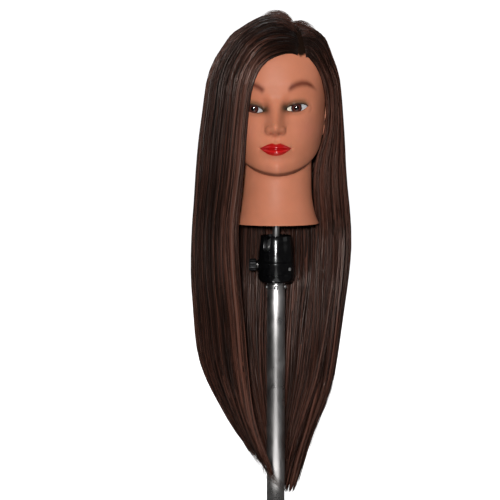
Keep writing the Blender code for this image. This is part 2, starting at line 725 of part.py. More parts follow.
def make_head(pivot):
    """Makes the skin, the foam core and the two eyes, and gives the skin's outer surface."""
    segments = 28
    levels = np.concatenate((np.arange(0, 6), np.linspace(6, 11, 9), np.linspace(12, 16, 5)))
    bm = bmesh.new()
    rings = join_rings(bm, [head_ring(level, segments) for level in levels])
    bm.faces.new(rings[-1])
    bmesh.ops.recalc_face_normals(bm, faces=bm.faces)
    surface = BVHTree.FromBMesh(bm)
    skin = bpy.data.meshes.new("skin")
    bm.to_mesh(skin)
    bm.free()
    skin.shade_smooth()
    shell = new_piece("head_shell", skin, VINYL, pivot)
    solidify = shell.modifiers.new("Skin", "SOLIDIFY")
    solidify.thickness = SKIN_THICKNESS
    solidify.offset = -1.0

    bm = bmesh.new()
    foam_levels = np.linspace(FOAM_LOW_LEVEL, FOAM_HIGH_LEVEL, 13)
    rings = join_rings(bm, [head_ring(level, FOAM_SEGMENTS, FOAM_INSET) for level in foam_levels])
    bm.faces.new(rings[0])
    bm.faces.new(rings[-1])
    foam = new_piece("foam_core", mesh_from(bm), FOAM, pivot)
    cut(
        foam,
        rod_cutter("socket_hole", SOCKET_R + GAP, 0.40, SOCKET_TOP + GAP, Matrix.Identity(4)),
    )

    for name, side in (("right", -1), ("left", 1)):
        centre = Vector((side * EYE_X, EYE_Y, EYE_Z))
        bm = bmesh.new()
        bmesh.ops.create_uvsphere(
            bm, u_segments=14, v_segments=9, radius=EYE_R,
            matrix=Matrix.Translation(centre) @ Matrix.Rotation(math.pi / 2, 4, "X"),
        )
        new_piece(f"{name}_eye", mesh_from(bm), EYE, pivot)
        pocket = ball_cutter(f"{name}_eye_pocket", EYE_R + 0.0005, centre)
        foam_pocket = ball_cutter(f"{name}_foam_pocket", EYE_R + 0.0040, centre)
        opening = ball_cutter(
            f"{name}_eye_opening", EYE_OPENING_WIDTH / 2, centre + Vector((0, -0.012, 0)),
            (1, 1.3, EYE_OPENING_HEIGHT / EYE_OPENING_WIDTH),
        )
        cut(shell, pocket, opening)
        cut(foam, foam_pocket)
    return surface


# ---------------------------------------------------------------- hair


def hair_reach(z):
    """Gives how far the hair reaches to the right, left, back and front at a height."""
    rows = np.array(HAIR_LEVELS)
    return [np.interp(z, rows[:, 0], rows[:, i]) for i in range(1, 5)]


def hair_outline(turn, z):
    """Gives the outer point of the hair, at a turn from the back towards the head's right."""
    right, left, back, front = hair_reach(z)
    across, along = math.sin(turn), math.cos(turn)
    x = -across * (right if across > 0 else left)
    return Vector((x, along * (back if along > 0 else front), z))


def skin_distance(surface, origin, direction):
    """Gives how far the skin's outer surface is along a ray, or zero below the neck."""
    hit = surface.ray_cast(origin, direction)
    return hit[3] if hit[0] else 0.0


def hair_sheet(surface, turns, heights, thickness):
    """Gives the outer and inner points of a sheet of hair. Its inner side keeps off the skin."""
    outer, inner = [], []
    for z, depth in zip(heights, thickness):
        outer_row, inner_row = [], []
        for turn in turns:
            point = hair_outline(math.radians(turn), z)
            axis = Vector((0, 0, z))
            reach = (point - axis).length
            direction = (point - axis).normalized()
            skin = HAIR_TO_SKIN + max(
                skin_distance(surface, axis + Vector((0, 0, step)), direction)
                for step in np.linspace(-JAW_REACH, JAW_REACH, 15)
            )
            far = max(reach, skin + FRINGE_THICKNESS)
            outer_row.append(axis + direction * far)
            inner_row.append(axis + direction * max(reach - depth, skin))
        outer.append(outer_row)
        inner.append(inner_row)
    return outer, inner


def fringe_angle(turn):
    """Gives the lowest elevation of the crown hair, which clears the face at the front."""
    stops = (-180, -150, -125, -102, 145, 172, 180)
    return np.interp(turn, stops, (37, 36, 22, 0, 0, 37, 37))


def make_crown(surface, pivot):
    """Makes the hair that lies over the skull, above the brow."""
    centre = Vector((0, 0, CROWN_BOTTOM))
    right, left, back, front = hair_reach(CROWN_BOTTOM)
    height = HAIR_TOP - CROWN_BOTTOM
    outer, inner = [], []
    for step in np.linspace(0, 1, 9):
        outer_row, inner_row = [], []
        for turn in range(-180, 180, 9):
            low = fringe_angle(turn)
            rise = math.radians(low + (87 - low) * step)
            around = math.radians(turn)
            direction = Vector((
                -math.sin(around) * math.cos(rise), math.cos(around) * math.cos(rise), math.sin(rise),
            ))
            wide = right if direction.x < 0 else left
            deep = back if direction.y > 0 else front
            scale = Vector((direction.x / wide, direction.y / deep, direction.z / height)).length
            near = skin_distance(surface, centre, direction) + HAIR_TO_SKIN
            far = max(1 / scale, near + FRINGE_THICKNESS)
            outer_row.append(centre + direction * far)
            inner_row.append(centre + direction * near)
        outer.append(outer_row)
        inner.append(inner_row)
    new_piece("hair_crown", grid_solid(outer, inner, wrap=True), HAIR, pivot)


def make_hair(surface, head_pivot, fall_pivot):
    """Makes the crown, the three sheets beside the head, and the three that hang below it."""
    make_crown(surface, head_pivot)
    right_turns = np.linspace(46.4, 157, 14)
    back_turns = np.linspace(-44.6, 44.6, 8)
    left_turns = np.linspace(-106, -46.4, 7)
    side_heights = np.linspace(HAIR_SPLIT_Z + GAP, CROWN_BOTTOM - GAP, 10)
    for name, turns in (("right", right_turns), ("back", back_turns), ("left", left_turns)):
        sheet = hair_sheet(surface, turns, side_heights, [HAIR_SIDE_THICKNESS] * len(side_heights))
        new_piece(f"hair_{name}_side", grid_solid(*sheet), HAIR, head_pivot)
    for name, turns, tip_z in (("right", right_turns, 0.118), ("back", back_turns, 0.045),
                               ("left", left_turns, 0.122)):
        heights = np.linspace(tip_z, HAIR_SPLIT_Z, 11)
        thickness = np.interp(
            heights, (tip_z, 0.25, HAIR_SPLIT_Z),
            (HAIR_TIP_THICKNESS, HAIR_FALL_THICKNESS * 0.8, HAIR_FALL_THICKNESS),
        )
        sheet = hair_sheet(surface, turns, heights, thickness)
        new_piece(f"hair_{name}_fall", grid_solid(*sheet), HAIR, fall_pivot)


# ---------------------------------------------------------------- the whole object

for old in list(bpy.data.objects):
    bpy.data.objects.remove(old, do_unlink=True)

PARTS = new_collection("mannequin_training_head")
CUTTERS = new_collection("cutters")

VINYL = new_material("skin_vinyl", (0.58, 0.26, 0.16), 0.45)
HAIR = new_material("hair", (0.035, 0.018, 0.010), 0.40)
EYE = new_material("eye_acrylic", (0.75, 0.72, 0.68), 0.10)
FOAM = new_material("core_foam", (0.80, 0.74, 0.60), 0.90)
BLACK_PLASTIC = new_material("black_plastic", (0.012, 0.012, 0.013), 0.20)
GREY_PLASTIC = new_material("grey_plastic", (0.30, 0.30, 0.31), 0.50)
NYLON = new_material("nylon", (0.75, 0.74, 0.70), 0.45)
RUBBER = new_material("rubber", (0.03, 0.03, 0.03), 0.80)
TUBE_STEEL = new_material("brushed_tube", (0.52, 0.50, 0.49), 0.32, metallic=1.0)
BRIGHT_STEEL = new_material("bright_steel", (0.70, 0.70, 0.70), 0.18, metallic=1.0)
BRASS = new_material("brass", (0.75, 0.55, 0.22), 0.30, metallic=1.0)

column = new_pivot("column_foot", (0, 0, 0))
housing_axis = new_pivot("housing_axis", (0, 0, HOUSING_BOTTOM), column)
cup_axis = new_pivot("cup_axis", (0, 0, CUP_BOTTOM), housing_axis)
shoe_axis = new_pivot("shoe_axis", (SHOE_OUTER, 0, KNOB_AXIS_Z), housing_axis)
knob_axis = new_pivot("knob_axis", (STUD_TIP, 0, KNOB_AXIS_Z), shoe_axis)
pan_screw_axis = new_pivot("pan_screw_axis", (0, 0, PAN_SCREW_Z), housing_axis)
ball_centre = new_pivot("ball_centre", (0, 0, BALL_CENTRE_Z), housing_axis)
hair_centre = new_pivot("hair_centre", (0, 0, BALL_CENTRE_Z), ball_centre)

make_column(column)
make_housing(housing_axis)
make_seat_cup(cup_axis)
make_clamp_shoe(shoe_axis)
make_knob(knob_axis)
make_pan_screw(pan_screw_axis)
make_stem(ball_centre)
make_neck_fittings(ball_centre)
skin_surface = make_head(ball_centre)
make_hair(skin_surface, ball_centre, hair_centre)
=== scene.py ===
"""Looks of the mannequin training head: painted vinyl skin, glossy eyes, long straight hair, a
gloss black ball clamp and a brushed steel column, in a round white studio.

Metres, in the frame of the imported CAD: +Z up, the face along -Y, the head's own right at -X.
"""

import json
import math

import bmesh
import bpy
import numpy as np
from mathutils import Matrix, Vector
from mathutils.bvhtree import BVHTree


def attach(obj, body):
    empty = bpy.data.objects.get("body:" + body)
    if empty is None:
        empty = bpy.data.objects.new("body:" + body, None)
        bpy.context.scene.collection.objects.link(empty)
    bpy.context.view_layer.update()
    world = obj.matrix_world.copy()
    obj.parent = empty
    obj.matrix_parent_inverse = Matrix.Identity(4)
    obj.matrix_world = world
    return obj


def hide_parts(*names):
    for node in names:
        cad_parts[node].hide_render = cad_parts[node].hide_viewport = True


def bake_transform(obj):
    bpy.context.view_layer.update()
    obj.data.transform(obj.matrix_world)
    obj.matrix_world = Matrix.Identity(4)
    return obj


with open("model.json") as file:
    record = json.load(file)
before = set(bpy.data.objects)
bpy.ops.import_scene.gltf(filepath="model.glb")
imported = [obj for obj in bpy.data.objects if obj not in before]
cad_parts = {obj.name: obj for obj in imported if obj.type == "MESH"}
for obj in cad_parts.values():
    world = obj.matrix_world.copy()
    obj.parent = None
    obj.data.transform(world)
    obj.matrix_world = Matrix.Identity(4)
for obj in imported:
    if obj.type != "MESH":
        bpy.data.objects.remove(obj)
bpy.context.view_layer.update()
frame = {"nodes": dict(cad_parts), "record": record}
NODES = frame["nodes"]

MM = 0.001
SHARP_ANGLE = math.radians(32)  # edges sharper than this stay sharp

# ---------------------------------------------------------------- driving dimensions

# The plain head, one row for each level from the neck rim to the crown: front height, back
# height, half width, front depth, back depth, front fullness. The rows close together are the
# shelf under the chin and along the jaw, which is sharper than in the CAD.
HEAD_LEVELS = [
    (0.4160, 0.4150, 0.0600, 0.0620, 0.0600, 2.1),
    (0.4300, 0.4290, 0.0545, 0.0565, 0.0560, 2.1),
    (0.4500, 0.4600, 0.0500, 0.0520, 0.0540, 2.0),
    (0.4700, 0.5000, 0.0492, 0.0510, 0.0570, 2.0),
    (0.4830, 0.5480, 0.0495, 0.0522, 0.0630, 2.0),
    (0.4842, 0.5520, 0.0510, 0.0640, 0.0640, 1.9),
    (0.4856, 0.5570, 0.0545, 0.0800, 0.0660, 1.8),
    (0.4885, 0.5640, 0.0590, 0.0885, 0.0700, 1.7),
    (0.4960, 0.5700, 0.0620, 0.0905, 0.0780, 1.75),
    (0.5100, 0.5770, 0.0640, 0.0905, 0.0850, 1.9),
    (0.5300, 0.5850, 0.0660, 0.0900, 0.0910, 2.1),
    (0.5600, 0.5980, 0.0680, 0.0880, 0.0960, 2.2),
    (0.5900, 0.6130, 0.0700, 0.0890, 0.0980, 2.3),
    (0.6200, 0.6280, 0.0720, 0.0900, 0.0970, 2.3),
    (0.6490, 0.6510, 0.0710, 0.0850, 0.0930, 2.2),
    (0.6730, 0.6740, 0.0640, 0.0720, 0.0830, 2.1),
    (0.6890, 0.6890, 0.0490, 0.0540, 0.0640, 2.0),
    (0.6980, 0.6980, 0.0270, 0.0300, 0.0360, 2.0),
    (0.7005, 0.7005, 0.0060, 0.0066, 0.0080, 2.0),
]
BACK_FULLNESS = 2.1
NECK_WALL = 0.0025
SKIN_COLUMNS = 300
SKIN_STEP = 0.0008  # height of a row of skin over the face
CHIN_LOW, CHIN_HIGH, CHIN_STEP = 0.4825, 0.4890, 0.00025  # finer rows under the chin
CROWN_FROM, CROWN_SQUASH = 0.655, 0.80  # the hidden scalp above here is lower than its CAD solid
FOAM_LOW, FOAM_HIGH, FOAM_INSET = 0.4980, 0.6780, 0.0110
FACE_LOW, FACE_HIGH = 0.4700, 0.6400  # the skin's rows are finest between these heights
SKIN_GLOSS = 0.25  # the skin's place between the matt scalp at 0 and the glossy lips at 1
SKIN_TONE = (0.640, 0.228, 0.126)
EAR_TONE = (0.600, 0.235, 0.145)
JAW_SHADE_TONE = (0.150, 0.045, 0.026)  # painted shade: the dark line under the jaw
JAW_SHADE_FADE_IN, JAW_SHADE_FADE_OUT = (0.4826, 0.4842), (0.4900, 0.4872)
SCALP_TONE = (0.016, 0.008, 0.005)
FACE_X = -1.5  # the features sit this far to the head's right, in mm
FACE_FADE = (5, 45)  # features fade in over these depths in front of the axis, in mm

# Face, in mm: heights and half widths of what is modelled and painted
NOSE_RIDGE = [(532, 0), (536, 1.0), (539.5, 5.5), (542, 12.0), (545, 18.0), (548.5, 21.3), (552, 21.3),
              (557, 17.6), (565, 11.6), (575, 6.0), (583, 3.0), (591, 1.0), (602, 0)]
NOSE_X = -1.3
NOSE_HALF_WIDTH = [(538, 9.4), (551, 11.0), (558, 10.8), (566, 10.2), (577, 10.0), (590, 11.0), (602, 12.0)]
MOUTH_X, MOUTH_HALF_WIDTH = -0.9, 21.2
LIP_TOP = [(0, 527.6), (0.12, 528.3), (0.24, 529.2), (0.5, 527.4), (0.75, 524.9), (1, 522.2)]
LIP_LINE = [(0, 520.6), (0.24, 521.2), (0.5, 521.3), (0.75, 521.6), (1, 522.2)]
LIP_BOTTOM = [(0, 512.2), (0.24, 512.5), (0.5, 514.3), (0.75, 517.8), (1, 522.2)]
UPPER_LIP_RISE, LOWER_LIP_RISE, LIPS_RISE = 3.1, 4.0, 1.5
# What stands forward of the plain head, or goes into it: how far, its distance from the middle,
# its width, its height and how tall it is
NOSE_BUMPS = [
    (3.6, 10.8, 3.6, 546.4, 4.4),  # wings
    (-1.3, 15.0, 1.6, 547.0, 4.6),  # creases outside them
    (-2.4, 5.4, 2.2, 541.0, 1.9),  # nostrils
]
FACE_BUMPS = [
    (6.2, 0, 24, 522, 17),  # around the mouth
    (-0.9, 0, 2.6, 532.5, 4.0),  # groove over the lips
    (0.4, 4.4, 1.8, 532.5, 4.5),  # its edges
    (-1.6, 0, 15, 507.5, 4.0),  # hollow under the lips
    (4.3, 0, 17, 496.5, 9.5),  # chin
    (2.2, 41, 15, 548, 17),  # cheeks
    (1.6, 31, 22, 606, 8),  # brows
    (-9.0, 15.5, 6.5, 577, 10),  # eye sockets, from the nose outward
    (-4.6, 30, 12, 579, 11),
    (-1.5, 43, 8, 578, 10),
    (-1.2, 0, 9, 589, 8),  # root of the nose
]
BROW_LINE = [(16.5, 600.8), (21.0, 604.0), (27.0, 606.9), (34.0, 608.8), (41.0, 608.6), (47.5, 606.0),
             (54.5, 600.4)]
BROW_THICKNESS = [(15, 3.6), (20, 4.9), (32, 4.6), (44, 3.7), (55, 2.2)]
RIGHT_BROW_SHIFT = (2.8, -0.4)

# Eyes, in mm: side of the head, middle of the opening, its half width, then the height of its
# inner and outer corner, and the pupil
EYES = {
    "left": dict(side=1, middle=27.8, half=13.4, inner=573.8, outer=578.2, pupil=(27.4, 576.2)),
    "right": dict(side=-1, middle=-31.2, half=13.4, inner=571.6, outer=577.6, pupil=(-31.0, 575.0)),
}
EYE_CENTRE_X, EYE_CENTRE_Y, EYE_CENTRE_Z = 29.0, -65.5, 576.3
EYE_SIZE = (17.5, 11.0, 13.5)  # half width, half depth, half height
LID_THICKNESS = 1.4
LID_RISE, LID_FALL = 4.2, 4.6
LID_SOFTNESS = 3.2  # how gently the lids meet the face
LID_CREASE, LID_EDGE = (-4.6, 1.1), (-0.9, 1.1)  # how far above the opening, and how tall
EYE_RECESS = 8.0  # the skin goes this far in behind the eye's surface
IRIS_R, PUPIL_R, CORNEA_RISE = 7.2, 3.2, 0.55
REACH_UNIT = 20.0  # the eye's "reach" attribute is 1 at this distance from the pupil's centre

# Ears, in mm
EAR_CENTRE_Y, EAR_CENTRE_Z, EAR_OUT = 10.0, 566.0, 65.2
EAR_HALF_WIDTH, EAR_HALF_HEIGHT, EAR_LEAN = 15.5, 29.0, 4.5

# Hair: the crown is a dome over the rim at this height
RIM_Z = 0.5900
DOME_RISE = {"right": 0.1165, "left": 0.1050}
DOME_REACH = {"right": 0.0955, "left": 0.0925, "front": 0.0960, "back": 0.1080}
DOME_POWER = {"right": (1.30, 0.80, 1.15), "left": (0.86, 0.80, 0.95)}  # sideways, forward, backward
# The parting: x and y, from the forehead back
PARTING = [(0.0345, -0.0780), (0.0285, -0.0520), (0.0225, -0.0200), (0.0165, 0.0150), (0.0080, 0.0520)]
DOME_MIDDLE = -0.0030  # x of the dome's middle

# What hangs below the rim. Right: height, reach to the side, front and back, x of the edge strand
RIGHT_FALL = [
    (0.031, 0.0145, 0.016, 0.036, 0.004), (0.060, 0.015, 0.020, 0.040, 0.006),
    (0.075, 0.018, 0.026, 0.043, 0.011), (0.097, 0.037, 0.036, 0.046, 0.020),
    (0.119, 0.055, 0.043, 0.051, 0.026), (0.1405, 0.0690, 0.048, 0.057, 0.032),
    (0.162, 0.0805, 0.053, 0.062, 0.035), (0.191, 0.0975, 0.060, 0.068, 0.038),
    (0.222, 0.1085, 0.066, 0.075, 0.041), (0.250, 0.1125, 0.070, 0.080, 0.043),
    (0.292, 0.1150, 0.074, 0.086, 0.046), (0.335, 0.1185, 0.078, 0.092, 0.0510),
    (0.377, 0.1180, 0.080, 0.096, 0.0540), (0.418, 0.1160, 0.082, 0.099, 0.0550),
    (0.453, 0.1130, 0.085, 0.103, 0.0505), (0.487, 0.1110, 0.087, 0.106, 0.0455),
    (0.532, 0.1070, 0.090, 0.107, 0.0425), (0.560, 0.1030, 0.092, 0.108, 0.0405),
    (0.590, 0.0985, 0.096, 0.108, 0.0375),
]
# Left: height, side reach, x and y of the front edge, y of the widest place, back reach
LEFT_FALL = [
    (0.027, 0.024, 0.010, 0.016, 0.026, 0.036), (0.075, 0.037, 0.020, 0.018, 0.028, 0.043),
    (0.097, 0.044, 0.028, 0.016, 0.030, 0.046), (0.119, 0.054, 0.034, 0.014, 0.030, 0.051),
    (0.1405, 0.0635, 0.040, 0.013, 0.030, 0.057), (0.162, 0.0760, 0.044, 0.012, 0.030, 0.062),
    (0.191, 0.0840, 0.048, 0.011, 0.032, 0.068), (0.250, 0.0920, 0.053, 0.011, 0.035, 0.080),
    (0.334, 0.1035, 0.055, 0.020, 0.042, 0.092), (0.377, 0.1075, 0.057, 0.028, 0.046, 0.096),
    (0.418, 0.1060, 0.0585, 0.032, 0.050, 0.099), (0.432, 0.1045, 0.0560, 0.028, 0.048, 0.101),
    (0.452, 0.1020, 0.0525, 0.019, 0.045, 0.103), (0.475, 0.0990, 0.0525, 0.014, 0.042, 0.105),
    (0.492, 0.0980, 0.0535, 0.012, 0.039, 0.1055), (0.510, 0.0970, 0.0550, 0.010, 0.036, 0.106),
    (0.521, 0.0963, 0.0610, 0.007, 0.033, 0.1065), (0.532, 0.0957, 0.0670, 0.004, 0.030, 0.107),
    (0.543, 0.0948, 0.0700, 0.000, 0.027, 0.107),
    (0.560, 0.0925, 0.071, -0.010, 0.020, 0.108), (0.578, 0.0912, 0.0690, -0.025, 0.013, 0.108),
    (0.590, 0.0902, 0.0675, -0.033, 0.010, 0.108),
]
LEFT_FRONT_SHARE = 0.30  # of the strands at the left, those that hang in front of the widest place
# Heights of the tips, by the share of the way from the edge strand to the back
RIGHT_TIPS = [(0, 0.080), (0.15, 0.092), (0.35, 0.112), (0.55, 0.108), (0.75, 0.070), (1, 0.046)]
LEFT_TIPS = [(0, 0.048), (0.12, 0.052), (0.30, 0.090), (0.55, 0.078), (0.80, 0.052), (1, 0.046)]
TIP_LIMITS = (0.031, 0.200)  # the ragged tips stay between these heights
# Hairline over the forehead: x and height of the strand that edges the hair on each side
RIGHT_HAIRLINE = [(0.0230, 0.6490), (0.0060, 0.6470), (-0.0110, 0.6410), (-0.0220, 0.6310),
                  (-0.0305, 0.6150), (-0.0355, 0.5970)]
PARTING_FOOT = (0.0310, 0.6430)  # where the painted scalp comes lowest, under the parting
LEFT_HAIRLINE = [(0.0395, 0.6470), (0.0465, 0.6400), (0.0545, 0.6290), (0.0600, 0.6180), (0.0650, 0.5990)]
HAIR_NODES = {
    "right": ("hair_crown", "hair_right_side", "hair_right_fall"),
    "left": ("hair_left_side", "hair_left_fall", "hair_back_side", "hair_back_fall"),
}
TIP_FLARE = {"right": 0.002, "left": 0.010}  # how far the ends stand off the surface
TIP_REACH = {"right": 0.05, "left": 0.11}  # how far the longest ends pass the tips
EDGE_PROUD, EDGE_SWEEP = 0.0030, 0.0065  # the edge strand stands off the skin, more lower down
EDGE_SHARE = {"right": 0.13, "left": 0.22}  # how much of each side leans to its edge strand
# Hair inside the two sides, behind the neck and clamp: height, side limits, y of its face
CURTAIN = [
    (0.540, -0.058, 0.058, 0.078), (0.480, -0.082, 0.078, 0.076), (0.415, -0.098, 0.086, 0.074),
    (0.380, -0.100, 0.088, 0.066), (0.335, -0.100, 0.086, 0.054), (0.250, -0.094, 0.074, 0.045),
    (0.190, -0.080, 0.062, 0.038), (0.120, -0.046, 0.036, 0.032), (0.060, -0.014, 0.018, 0.026),
    (0.030, -0.008, 0.012, 0.024),
]
CURTAIN_WRAP = 0.042  # its sides come this far forward
CURTAIN_ROWS, CURTAIN_COLUMNS = 60, 150
HAIR_COLUMNS = 280
CROWN_ROWS, FALL_ROWS, FRIZZ_ROWS = 30, 62, 8
HAIR_THICKNESS = 0.0150
TIP_THICKNESS = 0.0012
HAIR_UV = (0.30, 0.62)  # width and length of a side of hair, in texture space
HAIR_TONES = [(0.0050, 0.0020, 0.0013), (0.0195, 0.0064, 0.0036), (0.1100, 0.0420, 0.0280)]
LOWEST_TIP = 0.026  # no strand ends lower
TIP_TONE = (0.17, 0.10, 0.08)  # of the palest strands
EASING = 6  # rounds of smoothing over the bend at the rim
HAIR_OFF_SKIN = 0.0030
HEAD_MIDDLE = (0, 0, 0.600)
HAIR_OFF_TUBE = 0.0175  # no strand comes nearer than this to the column's axis
TUBE_TOP = 0.330  # of the column and its collar

# What is laid over the hair: how many at the right side and points in each, then the limits that
# each is drawn from: its first and last place along the hair, lift off the surface, half width, half
# thickness and shade. It wanders sideways, and has 3 sides unless it says so.
FINE, FLAT = (0.00016, 0.00034), (0.0005, 0.0010)
STRANDS = {
    "locks": dict(
        count=210, knots=34, first=(0.0, 0.10), last=(0.90, 1.03), lift=(-0.0006, 0.0012),
        width=(0.0014, 0.0032), thick=FLAT, wander=0.016, shade=(0.25, 0.85), sides=4,
    ),
    "strands": dict(
        count=1500, knots=26, first=(0.0, 0.30), last=(0.75, 1.05), lift=(0.0002, 0.0018),
        width=FINE, thick=FINE, wander=0.012, shade=(0.05, 1.0),
    ),
    # drawn darker than the outer locks: painted shade on the inner face
    "inner_locks": dict(
        count=150, knots=26, first=(0.35, 0.5), last=(0.90, 1.03), lift=(-0.0006, 0.0014),
        width=(0.0014, 0.0034), thick=FLAT, wander=0.018, shade=(0.15, 0.75), sides=4,
    ),
    "tips": dict(
        count=520, knots=22, first=(0.72, 0.92), last=(0.98, 1.08), lift=(-0.003, 0.0015),
        width=FINE, thick=FINE, wander=0.02, shade=(0.2, 1.0), flares=True,
    ),
    "ends": dict(
        count=180, knots=14, first=(0.70, 0.85), last=(1.0, 1.0), lift=(-0.004, 0.001),
        width=(0.0012, 0.0030), thick=FLAT, wander=0.02, shade=(0.45, 0.95), sides=4, flares=True,
        reaches=True,
    ),
    "frizz": dict(
        count=150, knots=7, first=(0.0, 0.2), last=(0.5, 1.0), lift=(0.001, 0.007),
        width=(0.00012, 0.00022), thick=(0.00012, 0.00022), wander=0.03, shade=(0.6, 1.0),
        across=(0.15, 0.7),
    ),
    "curtain_locks": dict(
        count=130, knots=26, first=(0.0, 0.15), last=(0.90, 1.04), lift=(-0.0006, 0.0016),
        width=(0.0014, 0.0034), thick=FLAT, wander=0.02, shade=(0.25, 0.85), sides=4,
    ),
    "curtain_strands": dict(
        count=700, knots=24, first=(0.0, 0.4), last=(0.80, 1.06), lift=(0.0002, 0.0022),
        width=FINE, thick=FINE, wander=0.02, shade=(0.1, 1.0),
    ),
}
SIDE_AMOUNT = {"right": 1.0, "left": 0.75}

# Clamp and column: radius and height of each turned piece's profile, in mm
BALL_Z, BALL_R = 381.0, 15.0
SEAT_R, MOUTH_R = 15.3, 13.3
HOUSING_OUTSIDE = [
    (14.4, 398.0), (14.9, 398.0), (20.6, 398.0), (21.3, 397.8), (21.7, 397.2), (22.1, 390.0),
    (23.1, 383.0), (24.0, 376.0), (24.9, 366.0), (25.2, 362.2), (24.3, 361.6), (24.3, 360.6),
    (25.4, 360.0), (25.6, 358.0), (25.6, 344.3), (25.4, 343.7), (25.0, 343.5), (17.5, 343.5),
    (17.5, 379.0),
]
BASE_PROFILE = [
    (25.3, 343.2), (25.6, 342.4), (25.4, 339.2), (24.3, 335.5), (22.2, 332.8), (19.0, 331.5),
    (13.2, 331.5), (13.2, 334.3), (9.3, 334.3), (9.3, 343.2),
]
STEM_PROFILE = [
    (0, 455.0), (3.95, 455.0), (4.55, 454.8), (4.75, 454.2), (4.75, 396.4), (4.55, 396.0), (3.7, 396.0),
    (3.7, 384.3), (0, 384.3),
]
COLLAR_PROFILE = [(12.4, 332.7), (12.4, 329.0), (9.3, 329.0), (9.3, 332.7)]
TUBE_PROFILE = [(12.7, 328.7), (12.7, 2.3), (11.5, 2.3), (11.5, 328.7)]
# The knob and the domed screws lie along a radius: radius and distance from the column's axis, in mm
KNOB_PROFILE = [
    (4.2, 28.4), (7.9, 28.4), (8.35, 28.6), (8.5, 29.1), (8.5, 36.6), (8.2, 37.5), (7.4, 38.0),
    (5.4, 38.0), (5.1, 37.6), (4.2, 37.6),
]
KNOB_FLUTES, KNOB_FLUTE_DEPTH = 12, 0.0004
KNOB_ANGLE, KNOB_Z = math.pi, 0.3564
PAN_SCREW_ANGLE, PAN_SCREW_Z = math.radians(317), 0.3518
NOTCH_ANGLE, NOTCH_Z, NOTCH_WIDTH = math.radians(233), 0.3825, 0.012
SCREW_Z, SCREW_R, SCREW_DOME = 0.3250, 3.0, (13.0, 1.8)  # where the dome starts, and how far it rises
SLOT_SIZE = (0.0034, 0.0007, 0.0014)  # of the cross in a domed screw

DARK_NODES = ("lock_stud", "lock_bush")  # steel that is blackened

CAMERA_X, CAMERA_HEIGHT, CAMERA_AIM_Z = -0.0367, 0.570, 0.377
CAMERA_DISTANCE = 2.0
VIEW_WIDTH = 0.705  # width of the picture at the column's axis
SENSOR_WIDTH = 36  # mm
STUDIO_R, STUDIO_BEND, STUDIO_TOP = 5.0, 1.2, 4.2
GLOW_WIDTH, GLOW_STRENGTH = 0.26, 1.9
GLOW_FAR, GLOW_NEAR, GLOW_Z = -4.2, -0.10, 0.002
WORLD_STRENGTH = 0.07
# Lamps: size, power in watts, place, and the height on the column's axis that each looks at
LAMPS = {
    "key": (0.09, 30.0, (-0.11, -1.95, 0.66), 0.50),
    "left_fill": (1.2, 3.5, (-1.8, -0.6, 1.2), 0.40),
    "right_fill": (1.2, 3.5, (1.8, -0.6, 1.2), 0.40),
    "top_back": (1.2, 9.0, (0, 1.4, 2.2), 0.40),
    "back_fill": (1.0, 9.0, (-0.9, 2.2, 0.9), 0.40),
}


# ---------------------------------------------------------------- helpers


def smooth(low, high, value):
    """Rises smoothly from 0 at low to 1 at high."""
    t = np.clip((np.asarray(value, float) - low) / (high - low), 0, 1)
    return t * t * (3 - 2 * t)


def bell(value, centre, size):
    """Gives 1 at the centre, falling off like a bell."""
    return np.exp(-(((value - centre) / size) ** 2))


def along(table, value, column=1):
    """Reads a column of a table at a value of its first column."""
    rows = np.array(table, float)
    return np.interp(value, rows[:, 0], rows[:, column])


def flowing(table, value):
    """Reads a table as along does, with its corners rounded off."""
    rows = np.array(table, float)
    fine = np.linspace(rows[0, 0], rows[-1, 0], 401)
    span = 2 * (len(fine) // (2 * len(rows))) + 1
    padded = np.pad(along(table, fine), span // 2, mode="edge")
    return np.interp(value, fine, np.convolve(padded, np.ones(span) / span, "valid"))


def hermite(f, here, after, slope_here, slope_after):
    """Goes from here to after along a cubic with the given slopes, at shares f of the way."""
    return (
        (2 * f**3 - 3 * f**2 + 1) * here + (f**3 - 2 * f**2 + f) * slope_here
        + (3 * f**2 - 2 * f**3) * after + (f**3 - f**2) * slope_after
    )


def curve_through(points, count):
    """Gives points evenly spaced along a smooth curve through the given ones."""
    points = np.array(points, float)
    knots = np.concatenate(([0], np.cumsum(np.linalg.norm(np.diff(points, axis=0), axis=1))))
    slopes = np.gradient(points, knots, axis=0)
    t = np.linspace(0, knots[-1], count)
    i = np.clip(np.searchsorted(knots, t, side="right") - 1, 0, len(points) - 2)
    width = (knots[i + 1] - knots[i])[:, None]
    f = (t - knots[i])[:, None] / width
    return hermite(f, points[i], points[i + 1], width * slopes[i], width * slopes[i + 1])


